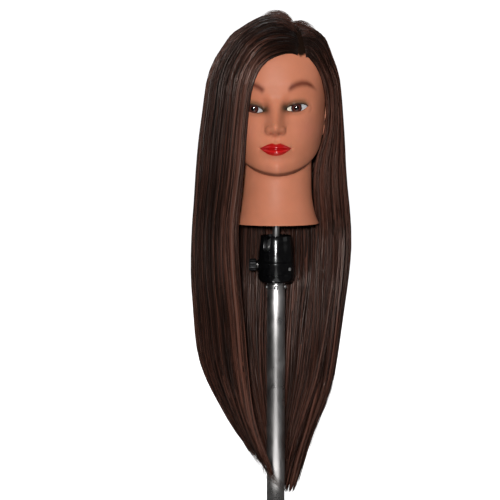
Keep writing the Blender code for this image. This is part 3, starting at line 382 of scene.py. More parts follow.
def new_object(name, points, faces, material, floats=None, colours=None, uv=None):
    """Makes a smooth mesh object from arrays: points, and faces with three or four corners."""
    mesh = bpy.data.meshes.new(name)
    points = np.asarray(points, np.float32).reshape(-1, 3)
    mesh.vertices.add(len(points))
    mesh.vertices.foreach_set("co", points.ravel())
    corners = np.concatenate([f.ravel() for f in faces]).astype(np.int32)
    sizes = np.concatenate([np.full(len(f), f.shape[1]) for f in faces])
    mesh.loops.add(len(corners))
    mesh.loops.foreach_set("vertex_index", corners)
    mesh.polygons.add(len(sizes))
    mesh.polygons.foreach_set("loop_start", np.concatenate(([0], np.cumsum(sizes)[:-1])).astype(np.int32))
    mesh.update(calc_edges=True)
    mesh.shade_smooth()
    for key, values in (floats or {}).items():
        layer = mesh.attributes.new(key, "FLOAT", "POINT")
        layer.data.foreach_set("value", np.asarray(values, np.float32).ravel())
    for key, values in (colours or {}).items():
        layer = mesh.attributes.new(key, "FLOAT_COLOR", "POINT")
        rgba = np.ones((len(points), 4), np.float32)
        rgba[:, :3] = np.asarray(values).reshape(-1, 3)
        layer.data.foreach_set("color", rgba.ravel())
    if uv is not None:
        layer = mesh.uv_layers.new(name="UVMap")
        layer.data.foreach_set("uv", np.asarray(uv, np.float32).reshape(-1, 2)[corners].ravel())
    mesh.materials.append(material)
    thing = bpy.data.objects.new(name, mesh)
    bpy.context.scene.collection.objects.link(thing)
    return thing


def grid_faces(rows, columns, first=0, wrap=False, flip=False):
    """Gives the faces of a grid of points numbered row by row from first."""
    i, j = np.meshgrid(np.arange(rows - 1), np.arange(columns if wrap else columns - 1), indexing="ij")
    k = (j + 1) % columns
    quads = np.stack([i * columns + j, i * columns + k, (i + 1) * columns + k, (i + 1) * columns + j], -1)
    quads = quads.reshape(-1, 4) + first
    return quads[:, ::-1] if flip else quads


def merged(thing, reach=1e-6):
    """Merges a mesh's doubled points and points its faces out."""
    bm = bmesh.new()
    bm.from_mesh(thing.data)
    bmesh.ops.remove_doubles(bm, verts=bm.verts, dist=reach)
    bmesh.ops.dissolve_degenerate(bm, edges=bm.edges, dist=1e-7)
    bmesh.ops.recalc_face_normals(bm, faces=bm.faces)
    bm.to_mesh(thing.data)
    bm.free()
    thing.data.shade_smooth()


def cleaned(thing):
    """Merges a mesh's doubled points and keeps its real edges sharp."""
    merged(thing, 2e-6)
    thing.data.set_sharp_from_angle(angle=SHARP_ANGLE)


def stand_for(piece, body, slot, *nodes):
    """Makes a piece ride on a body, in place of the CAD nodes named; its slot is not used."""
    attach(piece, body)
    if nodes:
        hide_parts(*nodes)


# ---------------------------------------------------------------- materials


def new_material(name, **values):
    """Makes a material whose Principled node has the given inputs, named in lower case."""
    material = bpy.data.materials.new(name)
    material.use_nodes = True
    for key, value in values.items():
        key = key.replace("_", " ").title().replace("Ior", "IOR")
        shader_of(material).inputs[key].default_value = value
    return material


def add(material, kind, **settings):
    """Adds a node with its settings, where a name with a socket's name sets that socket."""
    node = material.node_tree.nodes.new(kind)
    for key, value in settings.items():
        if hasattr(node, key) and key not in node.inputs:
            setattr(node, key, value)
        else:
            node.inputs[key].default_value = value
    return node


def link(material, source, target):
    """Links an output socket to an input socket."""
    material.node_tree.links.new(source, target)


def shader_of(material):
    """Gives a material's Principled node."""
    return material.node_tree.nodes["Principled BSDF"]


def ramp(material, source, stops):
    """Adds a colour ramp fed by a source, with stops of position and colour or grey."""
    node = add(material, "ShaderNodeValToRGB")
    elements = node.color_ramp.elements
    while len(elements) < len(stops):
        elements.new(0.5)
    for element, (position, colour) in zip(elements, stops):
        element.position = position
        grey = (colour,) * 3 if isinstance(colour, (int, float)) else colour
        element.color = (*grey, 1.0)
    link(material, source, node.inputs["Fac"])
    return node.outputs["Color"]


def noise(material, scale, detail=3.0, stretch=None, coordinates="Object", roughness=0.5):
    """Adds a noise, in object or UV coordinates, stretched by a scale for each axis."""
    source = add(material, "ShaderNodeTexCoord").outputs[coordinates]
    if stretch:
        mapping = add(material, "ShaderNodeMapping", Scale=stretch)
        link(material, source, mapping.inputs["Vector"])
        source = mapping.outputs["Vector"]
    node = add(material, "ShaderNodeTexNoise", Scale=scale, Detail=detail, Roughness=roughness)
    link(material, source, node.inputs["Vector"])
    return node.outputs["Fac"]


def bump(material, height, strength, distance):
    """Adds a bump from a height to a material's Principled normal."""
    node = add(material, "ShaderNodeBump", Strength=strength, Distance=distance)
    link(material, height, node.inputs["Height"])
    link(material, node.outputs["Normal"], shader_of(material).inputs["Normal"])


def multiply_add(material, source, factor, extra):
    """Multiplies a source by a factor and adds a socket or a fixed number."""
    node = add(material, "ShaderNodeMath", operation="MULTIPLY_ADD")
    link(material, source, node.inputs[0])
    node.inputs[1].default_value = factor
    if isinstance(extra, bpy.types.NodeSocket):
        link(material, extra, node.inputs[2])
    else:
        node.inputs[2].default_value = extra
    return node.outputs[0]


def attribute(material, name):
    """Adds a mesh attribute."""
    return add(material, "ShaderNodeAttribute", attribute_name=name)


def multiplied(material, first, second):
    """Multiplies two colours."""
    node = add(material, "ShaderNodeMix", data_type="RGBA", blend_type="MULTIPLY")
    sockets = {s.identifier: s for s in node.inputs}
    sockets["Factor_Float"].default_value = 1.0
    link(material, first, sockets["A_Color"])
    link(material, second, sockets["B_Color"])
    return next(s for s in node.outputs if s.identifier == "Result_Color")


def skin_material():
    """Painted soft vinyl: the paint comes from the mesh, with faint mottling and fine pores."""
    m = new_material(
        "skin_vinyl", roughness=0.42, subsurface_weight=0.10, subsurface_radius=(0.6, 0.25, 0.12),
        subsurface_scale=0.004,
    )
    shader = shader_of(m)
    mottle = ramp(m, noise(m, 60, 4), [(0.3, 0.93), (0.7, 1.0)])
    link(m, multiplied(m, attribute(m, "paint").outputs["Color"], mottle), shader.inputs["Base Color"])
    levels = (("Roughness", 0.80, 0.50, 0.16), ("Specular IOR Level", 0.02, 0.24, 0.85))
    for name, scalp, skin, lips in levels:
        gloss = attribute(m, "gloss").outputs["Fac"]
        link(m, ramp(m, gloss, [(0.0, scalp), (SKIN_GLOSS, skin), (1.0, lips)]), shader.inputs[name])
    bump(m, noise(m, 900, 2), 0.10, 0.0003)
    return m


def eye_material():
    """Glossy acrylic eye: pupil, streaked iris with a dark edge, and the white."""
    m = new_material("eye_acrylic", roughness=0.03, specular_ior_level=0.35)
    pupil, iris = PUPIL_R / REACH_UNIT, IRIS_R / REACH_UNIT
    rings = ramp(m, attribute(m, "reach").outputs["Fac"], [
        (0.0, (0.004, 0.003, 0.003)), (pupil - 0.008, (0.004, 0.003, 0.003)),
        (pupil + 0.012, (0.095, 0.027, 0.020)), (iris - 0.060, (0.055, 0.016, 0.012)),
        (iris - 0.012, (0.012, 0.005, 0.005)), (iris + 0.014, (0.60, 0.60, 0.61)),
        (0.62, (0.54, 0.53, 0.54)),
    ])
    streak = add(m, "ShaderNodeTexNoise", Scale=9.0, Detail=3.0)
    link(m, attribute(m, "spoke").outputs["Vector"], streak.inputs["Vector"])
    shade = ramp(m, streak.outputs["Fac"], [(0.3, 0.72), (0.7, 1.0)])
    link(m, multiplied(m, rings, shade), shader_of(m).inputs["Base Color"])
    return m


def hair_material(name, tint=1.0, streaked=True):
    """Dark brown hair: fine streaks along the strands and a sheen that runs across them."""
    m = new_material(
        name, roughness=0.36, specular_ior_level=0.26, specular_tint=(1.0, 0.78, 0.70, 1.0)
    )
    dark, middle, light = [tuple(tint * c for c in colour) for colour in HAIR_TONES]
    # the shade attribute holds random tone together with painted highlight and shade
    shade = attribute(m, "shade").outputs["Fac"]
    if streaked:
        fine = noise(m, 1.0, 2, (1500, 9, 1), "UV", 0.65)
        broad = noise(m, 1.0, 2, (230, 3.2, 1), "UV")
        streaks = multiply_add(m, fine, 0.75, broad)
        total = multiply_add(m, streaks, 0.62, multiply_add(m, shade, 0.70, -0.40))
        colour = ramp(m, total, [(0.22, dark), (0.50, middle), (0.82, light)])
        bump(m, streaks, 0.55, 0.0009)
        shader_of(m).inputs["Anisotropic"].default_value = 0.60
        tangent = add(m, "ShaderNodeTangent", direction_type="UV_MAP", uv_map="UVMap")
        link(m, tangent.outputs["Tangent"], shader_of(m).inputs["Tangent"])
    else:
        colour = ramp(m, shade, [(0.0, dark), (0.45, middle), (0.85, light), (1.0, TIP_TONE)])
    link(m, colour, shader_of(m).inputs["Base Color"])
    return m


def black_plastic_material(name, roughness):
    """Black moulded plastic with a slight orange peel and faint handling marks."""
    m = new_material(name, roughness=roughness, specular_ior_level=0.30)
    wear = ramp(m, noise(m, 70, 5), [(0.35, roughness * 0.8), (0.75, roughness * 1.6)])
    link(m, wear, shader_of(m).inputs["Roughness"])
    base = ramp(m, noise(m, 180, 4), [(0.4, (0.0022, 0.0022, 0.0026)), (0.8, (0.0060, 0.0058, 0.0060))])
    link(m, base, shader_of(m).inputs["Base Color"])
    bump(m, noise(m, 420, 2), 0.05, 0.0005)
    return m


def steel_material(name, colour, roughness, grain=60, stretch=(1, 1, 1), strength=0.04, **values):
    """Bare metal with a grain, drawn one way if stretched, and a little smudging."""
    m = new_material(name, metallic=1.0, roughness=roughness, **values)
    lines = noise(m, grain, 3, stretch)
    base = ramp(m, lines, [(0.25, tuple(c * 0.80 for c in colour)), (0.75, colour)])
    link(m, base, shader_of(m).inputs["Base Color"])
    smudges = ramp(m, noise(m, 40, 4), [(0.3, roughness * 0.8), (0.75, roughness * 1.5)])
    link(m, smudges, shader_of(m).inputs["Roughness"])
    bump(m, lines, strength, 0.0002)
    return m


def moulded_material(name, colour, roughness):
    """Plain moulded plastic, foam or rubber with fine grain and slightly uneven colour."""
    m = new_material(name, roughness=roughness)
    base = ramp(m, noise(m, 120, 4), [(0.3, tuple(c * 0.86 for c in colour)), (0.7, colour)])
    link(m, base, shader_of(m).inputs["Base Color"])
    bump(m, noise(m, 1500, 2), 0.15, 0.0002)
    return m


# ---------------------------------------------------------------- head


def head_measures(heights):
    """Gives the plain head's measures where its rows reach the given heights at the front."""
    rows = np.array(HEAD_LEVELS)
    last = len(rows) - 1
    level = np.linspace(0, last, 1601)
    i = np.minimum(level.astype(int), last - 1)
    t = (level - i)[:, None]
    before, here = rows[np.maximum(i - 1, 0)], rows[i]
    after, beyond = rows[i + 1], rows[np.minimum(i + 2, last)]
    fine = hermite(t, here, after, (after - before) / 2, (beyond - here) / 2)
    return [np.interp(heights, fine[:, 0], fine[:, k])[:, None] for k in range(6)]


def plain_head(heights, angles, inset=0.0):
    """Gives the plain head's points for rows of heights and columns of angles from the front."""
    z_front, z_back, half, front, back, fullness = head_measures(heights)
    across, forward = np.sin(angles)[None, :], np.cos(angles)[None, :]
    power = 2 / np.where(forward > 0, fullness, BACK_FULLNESS)
    x = np.sign(across) * np.abs(across) ** power * (half - inset)
    y = -np.sign(forward) * np.abs(forward) ** power * (np.where(forward > 0, front, back) - inset)
    z = z_front + (z_back - z_front) * (1 - forward) / 2
    return x, y, z


def mouth_edges(x):
    """Gives how far along the mouth a place is, and the heights of the lips' edges there."""
    share = np.abs(x - MOUTH_X) / MOUTH_HALF_WIDTH
    return share, flowing(LIP_TOP, share), flowing(LIP_LINE, share), flowing(LIP_BOTTOM, share)


def eye_opening(eye, x, z):
    """Gives how far above the lower and below the upper lid a place is, and its share across."""
    share = (x - eye["middle"]) / eye["half"] * eye["side"]
    baseline = (eye["inner"] + eye["outer"]) / 2 + (eye["outer"] - eye["inner"]) / 2 * share
    inside = np.clip(1 - np.abs(share) ** 2.2, 0, 1)
    upper = baseline + LID_RISE * inside**0.62 * (1 - 0.10 * share)
    lower = baseline - LID_FALL * inside**0.80 * (1 + 0.15 * share)
    return z - lower, upper - z, share


def eye_mask(eye, x, z, soft):
    """Gives 1 inside the opening of an eye and 0 outside, over a soft edge."""
    above, below, share = eye_opening(eye, x, z)
    near = np.minimum(above, below)
    return smooth(-soft / 2, soft / 2, near) * (np.abs(share) < 1)


def bumps(table, side, z):
    """Adds up a table of bumps at a distance from the middle and a height."""
    return sum(
        rise * bell(side, out, wide) * bell(z, height, tall) for rise, out, wide, height, tall in table
    )


def lip_relief(x, z):
    """Gives how far the lips stand forward, with the line and the corners of the mouth pressed in."""
    share, top, line, bottom = mouth_edges(x)
    fade = np.clip(1 - share**2, 0, 1) ** 0.6
    upper = np.clip((z - line) / np.maximum(top - line, 0.1), 0, 1)
    lower = np.clip((line - z) / np.maximum(line - bottom, 0.1), 0, 1)
    rise = UPPER_LIP_RISE * np.sin(np.pi * upper**0.8) + LOWER_LIP_RISE * np.sin(np.pi * lower**0.75)
    rise += LIPS_RISE * (bell(z, (top + line) / 2, 6.5) + bell(z, (line + bottom) / 2, 6.5))
    pressed = 2.2 * smooth(1.12, 0.9, share) * bell(z, line, 1.2)
    corners = 0.5 * bell(share, 1.05, 0.12) * bell(z, line, 2.6)
    return fade * rise - pressed - corners


def face_relief(x, z):
    """Gives how far the features stand forward of the plain head. All in mm."""
    beside_nose = np.abs(x - NOSE_X)
    relief = flowing(NOSE_RIDGE, z) * bell(beside_nose, 0, flowing(NOSE_HALF_WIDTH, z))
    relief += bumps(NOSE_BUMPS, beside_nose, z) + bumps(FACE_BUMPS, np.abs(x), z)
    return relief + lip_relief(x, z)


def shape_face(x, y, z):
    """Moves the plain head's points forward into a face, with lids closing on the eyes."""
    across, height, depth = x / MM - FACE_X, z / MM, -y / MM
    shown = smooth(*FACE_FADE, depth)
    depth = depth + face_relief(across, height) * shown
    for eye in EYES.values():
        spread = ((across - eye["side"] * EYE_CENTRE_X) / (EYE_SIZE[0] + LID_THICKNESS)) ** 2
        spread = spread + ((height - EYE_CENTRE_Z) / (EYE_SIZE[2] + LID_THICKNESS)) ** 2
        lid = -EYE_CENTRE_Y + (EYE_SIZE[1] + LID_THICKNESS) * np.sqrt(np.clip(1 - spread, 0, 1))
        lid = np.where((spread < 1) & (depth > 0), lid, -1e3)
        near = np.clip(1 - np.abs(depth - lid) / LID_SOFTNESS, 0, 1)
        depth = np.maximum(depth, lid) + near**2 * LID_SOFTNESS / 4 * (spread < 1)
        below, share = eye_opening(eye, across, height)[1:]
        crease = 1.0 * bell(below, *LID_CREASE) * smooth(1.15, 0.6, np.abs(share))
        edge = 0.5 * bell(below, *LID_EDGE) * smooth(1.1, 0.8, np.abs(share))
        recess = EYE_RECESS * eye_mask(eye, across, height, 1.1)
        depth = depth + (edge - crease - recess) * shown
    return -depth * MM


def brow_stroke(x, z, side):
    """Gives how strongly a brow is painted at a place, in mm."""
    shift = RIGHT_BROW_SHIFT if side < 0 else (0, 0)
    across = x * side
    line = along(BROW_LINE, across - shift[0]) + shift[1]
    ends = smooth(13.0, 20.0, across) * smooth(58.0, 45.0, across)
    return ends * bell(z, line, along(BROW_THICKNESS, across))


def paint_face(x, z, forward):
    """Gives the paint's colour, painted shade included, and how glossy it is, from places on the face in
    mm.
    """
    colour = np.ones(x.shape + (3,)) * SKIN_TONE
    side, beside = np.abs(x), np.abs(x - NOSE_X)

    def lay(tone, strength):
        """Lays a tone over the paint so far."""
        nonlocal colour
        weight = np.clip(strength * forward, 0, 1)[..., None]
        colour = colour * (1 - weight) + np.array(tone) * weight

    # Painted shade along the face's outline at its sides; airbrushed blush on the cheeks and the chin
    lay((0.30, 0.100, 0.055), 0.50 * smooth(48, 70, side))
    lay((0.60, 0.200, 0.130), 0.42 * bell(side, 42, 15) * bell(z, 546, 15))
    lay((0.58, 0.205, 0.130), 0.35 * bell(x, 0, 16) * bell(z, 495, 9))
    # Nose: painted shade round the wings, down its two sides, in the nostrils and under the tip
    wing = np.hypot((beside - 8.2) / 5.2, (z - 546.0) / 6.2)
    nostril = np.hypot((beside - 5.8) / 2.6, (z - 541.2) / 1.5)
    lay((0.36, 0.120, 0.065), 0.46 * bell(wing, 1.0, 0.14) * smooth(7.5, 10.5, beside))
    lay((0.33, 0.125, 0.060), 0.48 * bell(x, 7.5, 4.4) * bell(z, 566, 13))
    lay((0.40, 0.140, 0.080), 0.14 * bell(x, -9.5, 4.0) * bell(z, 568, 14))
    lay((0.17, 0.048, 0.028), 0.55 * bell(nostril, 0, 1))
    lay((0.38, 0.130, 0.075), 0.30 * bell(x, NOSE_X, 9.0) * bell(z, 539.0, 1.8))
    # Painted shade in the hollow under the lower lip
    lay((0.46, 0.165, 0.100), 0.45 * bell(x, 0, 12) * bell(z, 507.5, 3.0))
    for eye in EYES.values():
        above, below, share = eye_opening(eye, x, z)
        ends = np.abs(share)
        # Eye shadow: over the lid, darker by the lashes, darkest at the inner corner
        shadow = smooth(-11.0, -3.0, below) * (below < 0.6) * smooth(1.5, 0.8, ends)
        lashes = smooth(-7.0, -0.5, below) * (below < 0.8) * smooth(1.25, 0.9, ends)
        corner = smooth(0.2, -1.1, share) * smooth(-1.9, -1.2, share)
        lay((0.150, 0.085, 0.035), 0.62 * shadow)
        lay((0.048, 0.028, 0.014), 0.80 * lashes)
        lay((0.060, 0.034, 0.016), 0.95 * corner * bell(z, eye["inner"] + 2.0, 6.0))
        # The upper line, the lower line, painted shade in the fold under the eye, and the brow
        lay((0.014, 0.008, 0.006), 0.95 * bell(below, -0.7, 1.3) * smooth(1.24, 1.02, ends))
        lay((0.090, 0.040, 0.024), 0.70 * bell(above, -0.4, 0.8) * smooth(1.10, 0.95, ends))
        lay((0.30, 0.110, 0.060), 0.35 * bell(above, -3.0, 2.5) * smooth(1.2, 0.7, ends))
        lay((0.150, 0.027, 0.012), 0.92 * brow_stroke(x, z, eye["side"]))
    share, top, line, bottom = mouth_edges(x)
    lips = smooth(-0.45, 0.45, np.minimum(top - z, z - bottom)) * (share < 1)
    lay((0.620, 0.006, 0.007), lips)
    # painted shade along the line between the lips, and over the whole upper lip
    lay((0.200, 0.003, 0.004), 0.8 * lips * bell(z, line, 0.8))
    lay((0.420, 0.004, 0.005), 0.5 * lips * (z > line))
    return colour, SKIN_GLOSS + (1 - SKIN_GLOSS) * np.clip(lips * forward, 0, 1)


def hairline_height(x):
    """Gives the height of the hairline over the forehead at x, in mm, level beyond its ends."""
    line = sorted(RIGHT_HAIRLINE + [PARTING_FOOT] + LEFT_HAIRLINE)
    return np.interp(x, [px / MM for px, pz in line], [pz / MM for px, pz in line], 640, 640)


def skin_heights():
    """Gives the heights of the skin's rows, closest together over the face and under the chin."""
    neck = np.linspace(HEAD_LEVELS[0][0], FACE_LOW, 30)
    face = np.arange(FACE_LOW + SKIN_STEP, FACE_HIGH, SKIN_STEP)
    chin = np.arange(CHIN_LOW, CHIN_HIGH, CHIN_STEP)
    face = np.sort(np.concatenate((face[(face < CHIN_LOW) | (face >= CHIN_HIGH)], chin)))
    top = np.linspace(FACE_HIGH + SKIN_STEP, HEAD_LEVELS[-1][0], 30)
    return np.concatenate((neck, face, top))


def lowered_crown(z):
    """Brings down the hidden top of the scalp."""
    return np.where(z > CROWN_FROM, CROWN_FROM + (z - CROWN_FROM) * CROWN_SQUASH, z)


def paint_skin(points, jaw_shade):
    """Gives the skin's paint and gloss: the face, painted shade along the line under the jaw, and the dark
    scalp.
    """
    across, depth, height = points[..., 0] / MM, -points[..., 1] / MM, points[..., 2] / MM
    colour, gloss = paint_face(across - FACE_X, height, smooth(20, 50, depth))
    behind = smooth(-10, 5, -depth) * smooth(480, 520, height)
    scalp = np.maximum(smooth(0, 3, height - hairline_height(across)), behind)
    # painted shade under the jaw first, then the scalp painted as dark as the hair's roots
    for tone, share in ((JAW_SHADE_TONE, 0.62 * jaw_shade * smooth(-10, 20, depth)), (SCALP_TONE, scalp)):
        share = share[..., None]
        colour = colour * (1 - share) + np.array(tone) * share
    return colour, gloss * (1 - scalp)


def make_skin(material):
    """Makes the whole skin as one closed bag with a real wall at the neck's rim."""
    heights = skin_heights()
    t = np.linspace(-1, 1, SKIN_COLUMNS, endpoint=False)
    angles = np.pi * (0.42 * t + 0.58 * t**3)  # columns stand closer together over the face
    x, y, z = plain_head(heights, angles)
    outside = np.stack((x, shape_face(x, y, z), lowered_crown(z)), -1)
    ix, iy, iz = plain_head(np.array((HEAD_LEVELS[1][0], HEAD_LEVELS[0][0])), angles, NECK_WALL)
    iz[1] += 0.0002
    rim_round = outside[:1] * (0.985, 0.985, 1.0) - (0, 0, 0.0004)
    points = np.concatenate((np.stack((ix, iy, iz), -1), rim_round, outside))
    rows = len(points)
    # painted shade under the jaw, over the close rows under the chin and along the jaw
    jaw_shade = smooth(*JAW_SHADE_FADE_IN, heights) * smooth(*JAW_SHADE_FADE_OUT, heights)
    colour, gloss = paint_skin(points, np.concatenate((np.zeros(3), jaw_shade))[:, None])
    all_points = np.concatenate((points.reshape(-1, 3), [points[0].mean(0), points[-1].mean(0)]))
    centre, base = rows * SKIN_COLUMNS, (rows - 1) * SKIN_COLUMNS
    ring = np.arange(SKIN_COLUMNS)
    after = (ring + 1) % SKIN_COLUMNS
    caps = np.concatenate((
        np.stack((after, ring, np.full_like(ring, centre)), -1),
        np.stack((base + ring, base + after, np.full_like(ring, centre + 1)), -1),
    ))
    pad = np.tile(colour.reshape(-1, 3)[:1], (2, 1))
    skin = new_object(
        "skin", all_points, [grid_faces(rows, SKIN_COLUMNS, wrap=True), caps], material,
        floats={"gloss": np.concatenate((gloss.ravel(), [0, 0]))},
        colours={"paint": np.concatenate((colour.reshape(-1, 3), pad))},
    )
    stand_for(skin, "head", "skin_vinyl", "head_shell")
    return skin


def make_foam(material):
    """Makes the foam core as a closed bag that clears the skin all round."""
    heights, columns = np.linspace(FOAM_LOW, FOAM_HIGH, 30), 96
    angles = np.linspace(-np.pi, np.pi, columns, endpoint=False)
    x, y, z = plain_head(heights, angles, FOAM_INSET)
    points = np.stack((x, y, lowered_crown(z)), -1)
    points = np.concatenate((points[:1] * (0, 0, 1), points, points[-1:] * (0, 0, 1)))
    foam = new_object("foam", points, [grid_faces(len(points), columns, wrap=True)], material)
    cleaned(foam)
    stand_for(foam, "head", "core_foam", "foam_core")


def make_eyes(material):
    """Makes each eye as an ellipsoid drawn in rings about the way it looks."""
    rings, spokes = 60, 72
    size = np.array(EYE_SIZE)
    tilt = (np.pi * (np.arange(rings + 1) / rings) ** 1.5)[:, None, None]
    turn = (np.arange(spokes) / spokes * 2 * np.pi)[None, :, None]
    for name, eye in EYES.items():
        middle_x = eye["side"] * EYE_CENTRE_X
        centre = np.array((FACE_X + middle_x, EYE_CENTRE_Y, EYE_CENTRE_Z))
        pupil_x, pupil_z = eye["pupil"]
        aim = np.array((pupil_x - middle_x, pupil_z - EYE_CENTRE_Z)) / (EYE_SIZE[0], EYE_SIZE[2])
        gaze = np.array((aim[0], -math.sqrt(1 - aim @ aim), aim[1]))
        right = np.cross((0, 0, 1), gaze)
        right /= np.linalg.norm(right)
        up = np.cross(gaze, right)
        ball = np.cos(tilt) * gaze + np.sin(tilt) * (np.cos(turn) * right + np.sin(turn) * up)
        cornea = np.exp(-((tilt / 0.36) ** 4))
        points = centre + ball * size + CORNEA_RISE * cornea * gaze
        flat = (points - centre - gaze * size)[..., (0, 2)]
        reach = np.where(tilt[..., 0] < 1.4, np.linalg.norm(flat, axis=-1) / REACH_UNIT, 0.8)
        round_it = np.concatenate((np.cos(turn), np.sin(turn)), -1) * np.ones((rings + 1, 1, 1))
        eyeball = new_object(
            f"{name}_eyeball", points * MM, [grid_faces(rings + 1, spokes, wrap=True, flip=True)], material,
            floats={"reach": reach},
            colours={"spoke": np.concatenate((round_it, reach[..., None]), -1)},
        )
        merged(eyeball)
        stand_for(eyeball, "head", "eye_acrylic", f"{name}_eye")


def make_ears(material):
    """Makes each ear as a dish with a raised rim, a hollow and a soft lobe."""
    rings, spokes = 26, 56
    reach = np.linspace(0, 1, rings)[:, None]
    turn = np.linspace(0, 2 * np.pi, spokes, endpoint=False)[None, :]
    up, back = np.sin(turn), np.cos(turn)
    y = EAR_CENTRE_Y + reach * back * EAR_HALF_WIDTH * (1 + 0.18 * up) + EAR_LEAN * reach * up
    z = EAR_CENTRE_Z + reach * up * EAR_HALF_HEIGHT
    rim = 6.5 * bell(reach, 0.84, 0.13) * smooth(-1.1, -0.2, up + 0.4 * back)
    lobe = 3.5 * bell(reach, 0.72, 0.28) * smooth(-0.35, -0.85, up)
    bowl = -3.6 * bell(reach, 0.36, 0.26)
    ridge = 2.6 * bell(reach, 0.60, 0.10) * smooth(-0.7, 0.2, up + 0.5 * back)
    away = 4.0 + 5.5 * back * reach + rim + lobe + bowl + ridge
    edge = smooth(1.0, 0.86, reach)
    x = EAR_OUT + away * edge - 3.0 * (1 - edge)
    colour = np.ones((rings + 1, spokes, 3)) * EAR_TONE
    # painted shade in the ear's hollow
    colour[:-1] *= (1 - 0.35 * bell(reach, 0.36, 0.2))[..., None]
    for name, side in (("right_ear", -1), ("left_ear", 1)):
        inner = np.stack((np.full_like(x, side * (EAR_OUT - 4.2)), y, z), -1)
        points = np.concatenate((np.stack((side * x, y, z), -1), inner[-1:])) * MM
        ear = new_object(
            name, points, [grid_faces(rings + 1, spokes, wrap=True, flip=side > 0)], material,
            floats={"gloss": np.full(points.shape[:2], SKIN_GLOSS)}, colours={"paint": colour},
        )
        stand_for(ear, "head", "skin_vinyl")


# ---------------------------------------------------------------- hair


def dome_height(name, x, y):
    """Gives the height over a place of the dome that one side's crown hair follows."""
    left, back = x - DOME_MIDDLE > 0, y > 0
    a = (x - DOME_MIDDLE) / np.where(left, DOME_REACH["left"], DOME_REACH["right"])
    b = y / np.where(back, DOME_REACH["back"], DOME_REACH["front"])
    rho = np.hypot(a, b)
    sideways = (a / np.maximum(rho, 1e-6)) ** 2
    side_power, front_power, back_power = DOME_POWER[name]
    deep_power = np.where(back, back_power, front_power)
    power = deep_power + (side_power - deep_power) * sideways
    return RIM_Z + DOME_RISE[name] * np.sqrt(np.clip(1 - rho ** (2 / power), 0, 1))


def right_slice(u, z):
    """Gives where the hair's right side is, u of the way from the edge strand to the back."""
    side, front, back, edge = [along(RIGHT_FALL, z, k) for k in range(1, 5)]
    start = np.arcsin(edge / side)
    turn = start + (np.pi - start) * u
    return -side * np.sin(turn), -np.cos(turn) * np.where(turn < np.pi / 2, front, back)


def left_slice(u, z):
    """Gives where the hair's left side is, u of the way from the edge strand to the back."""
    side, edge_x, edge_y, side_y, back = [along(LEFT_FALL, z, k) for k in range(1, 6)]
    bend = np.clip(u / LEFT_FRONT_SHARE, 0, 1) * np.pi / 2
    turn = np.clip((u - LEFT_FRONT_SHARE) / (1 - LEFT_FRONT_SHARE), 0, 1) * np.pi / 2
    front = u < LEFT_FRONT_SHARE
    x = np.where(front, edge_x + (side - edge_x) * np.sin(bend), side * np.cos(turn))
    y = np.where(
        front, side_y - (side_y - edge_y) * np.cos(bend), side_y + (back - side_y) * np.sin(turn)
    )
    return x, y


def unit(vectors):
    """Gives vectors of length 1 in the same directions."""
    return vectors / np.maximum(np.linalg.norm(vectors, axis=-1, keepdims=True), 1e-9)


def even(path, count):
    """Gives points spaced evenly along each path of an array of paths."""
    step = np.linalg.norm(np.diff(path, axis=1), axis=2)
    length = np.concatenate((np.zeros((len(path), 1)), np.cumsum(step, axis=1)), axis=1)
    out = np.empty((len(path), count, 3))
    for i, (line, reach) in enumerate(zip(path, length)):
        want = np.linspace(0, reach[-1], count)
        for k in range(3):
            out[i, :, k] = np.interp(want, reach, line[:, k])
    return out


def crown_grid(name, rim_x, rim_y):
    """Gives each crown strand's points, over the dome from the parting to the rim."""
    u = np.linspace(0, 1, HAIR_COLUMNS)
    root = curve_through(PARTING, HAIR_COLUMNS)
    f = np.linspace(0, 1, 160)[None, :]
    x = root[:, :1] + (rim_x[:, None] - root[:, :1]) * f
    y = root[:, 1:] + (rim_y[:, None] - root[:, 1:]) * f
    z = dome_height(name, x, y)
    if name == "left":  # the front strands go over in a rounder bow
        inside = smooth(LEFT_FRONT_SHARE, 0.0, u)[:, None]
        z = RIM_Z + (z - RIM_Z) * (1 - inside * (1 - np.sqrt(1 - f**5)))
    return even(np.stack((x, y, z), -1), CROWN_ROWS)


def edge_strand(name, start, rim_x, rim_y, skin_tree):
    """Gives the strand that edges the hair: from the parting along the hairline to the rim."""
    edge = [start]
    for i, (x, z) in enumerate(RIGHT_HAIRLINE if name == "right" else LEFT_HAIRLINE):
        skin_y = skin_tree.ray_cast(Vector((x, -1.0, z)), Vector((0, 1, 0)))[0].y
        proud = EDGE_PROUD + (EDGE_SWEEP * (i / 5) ** 2 if name == "right" else 0.0)
        edge.append((x, skin_y - proud, z))
    edge.append((rim_x, rim_y, RIM_Z))
    return even(curve_through(edge, 120)[None], CROWN_ROWS)[0]


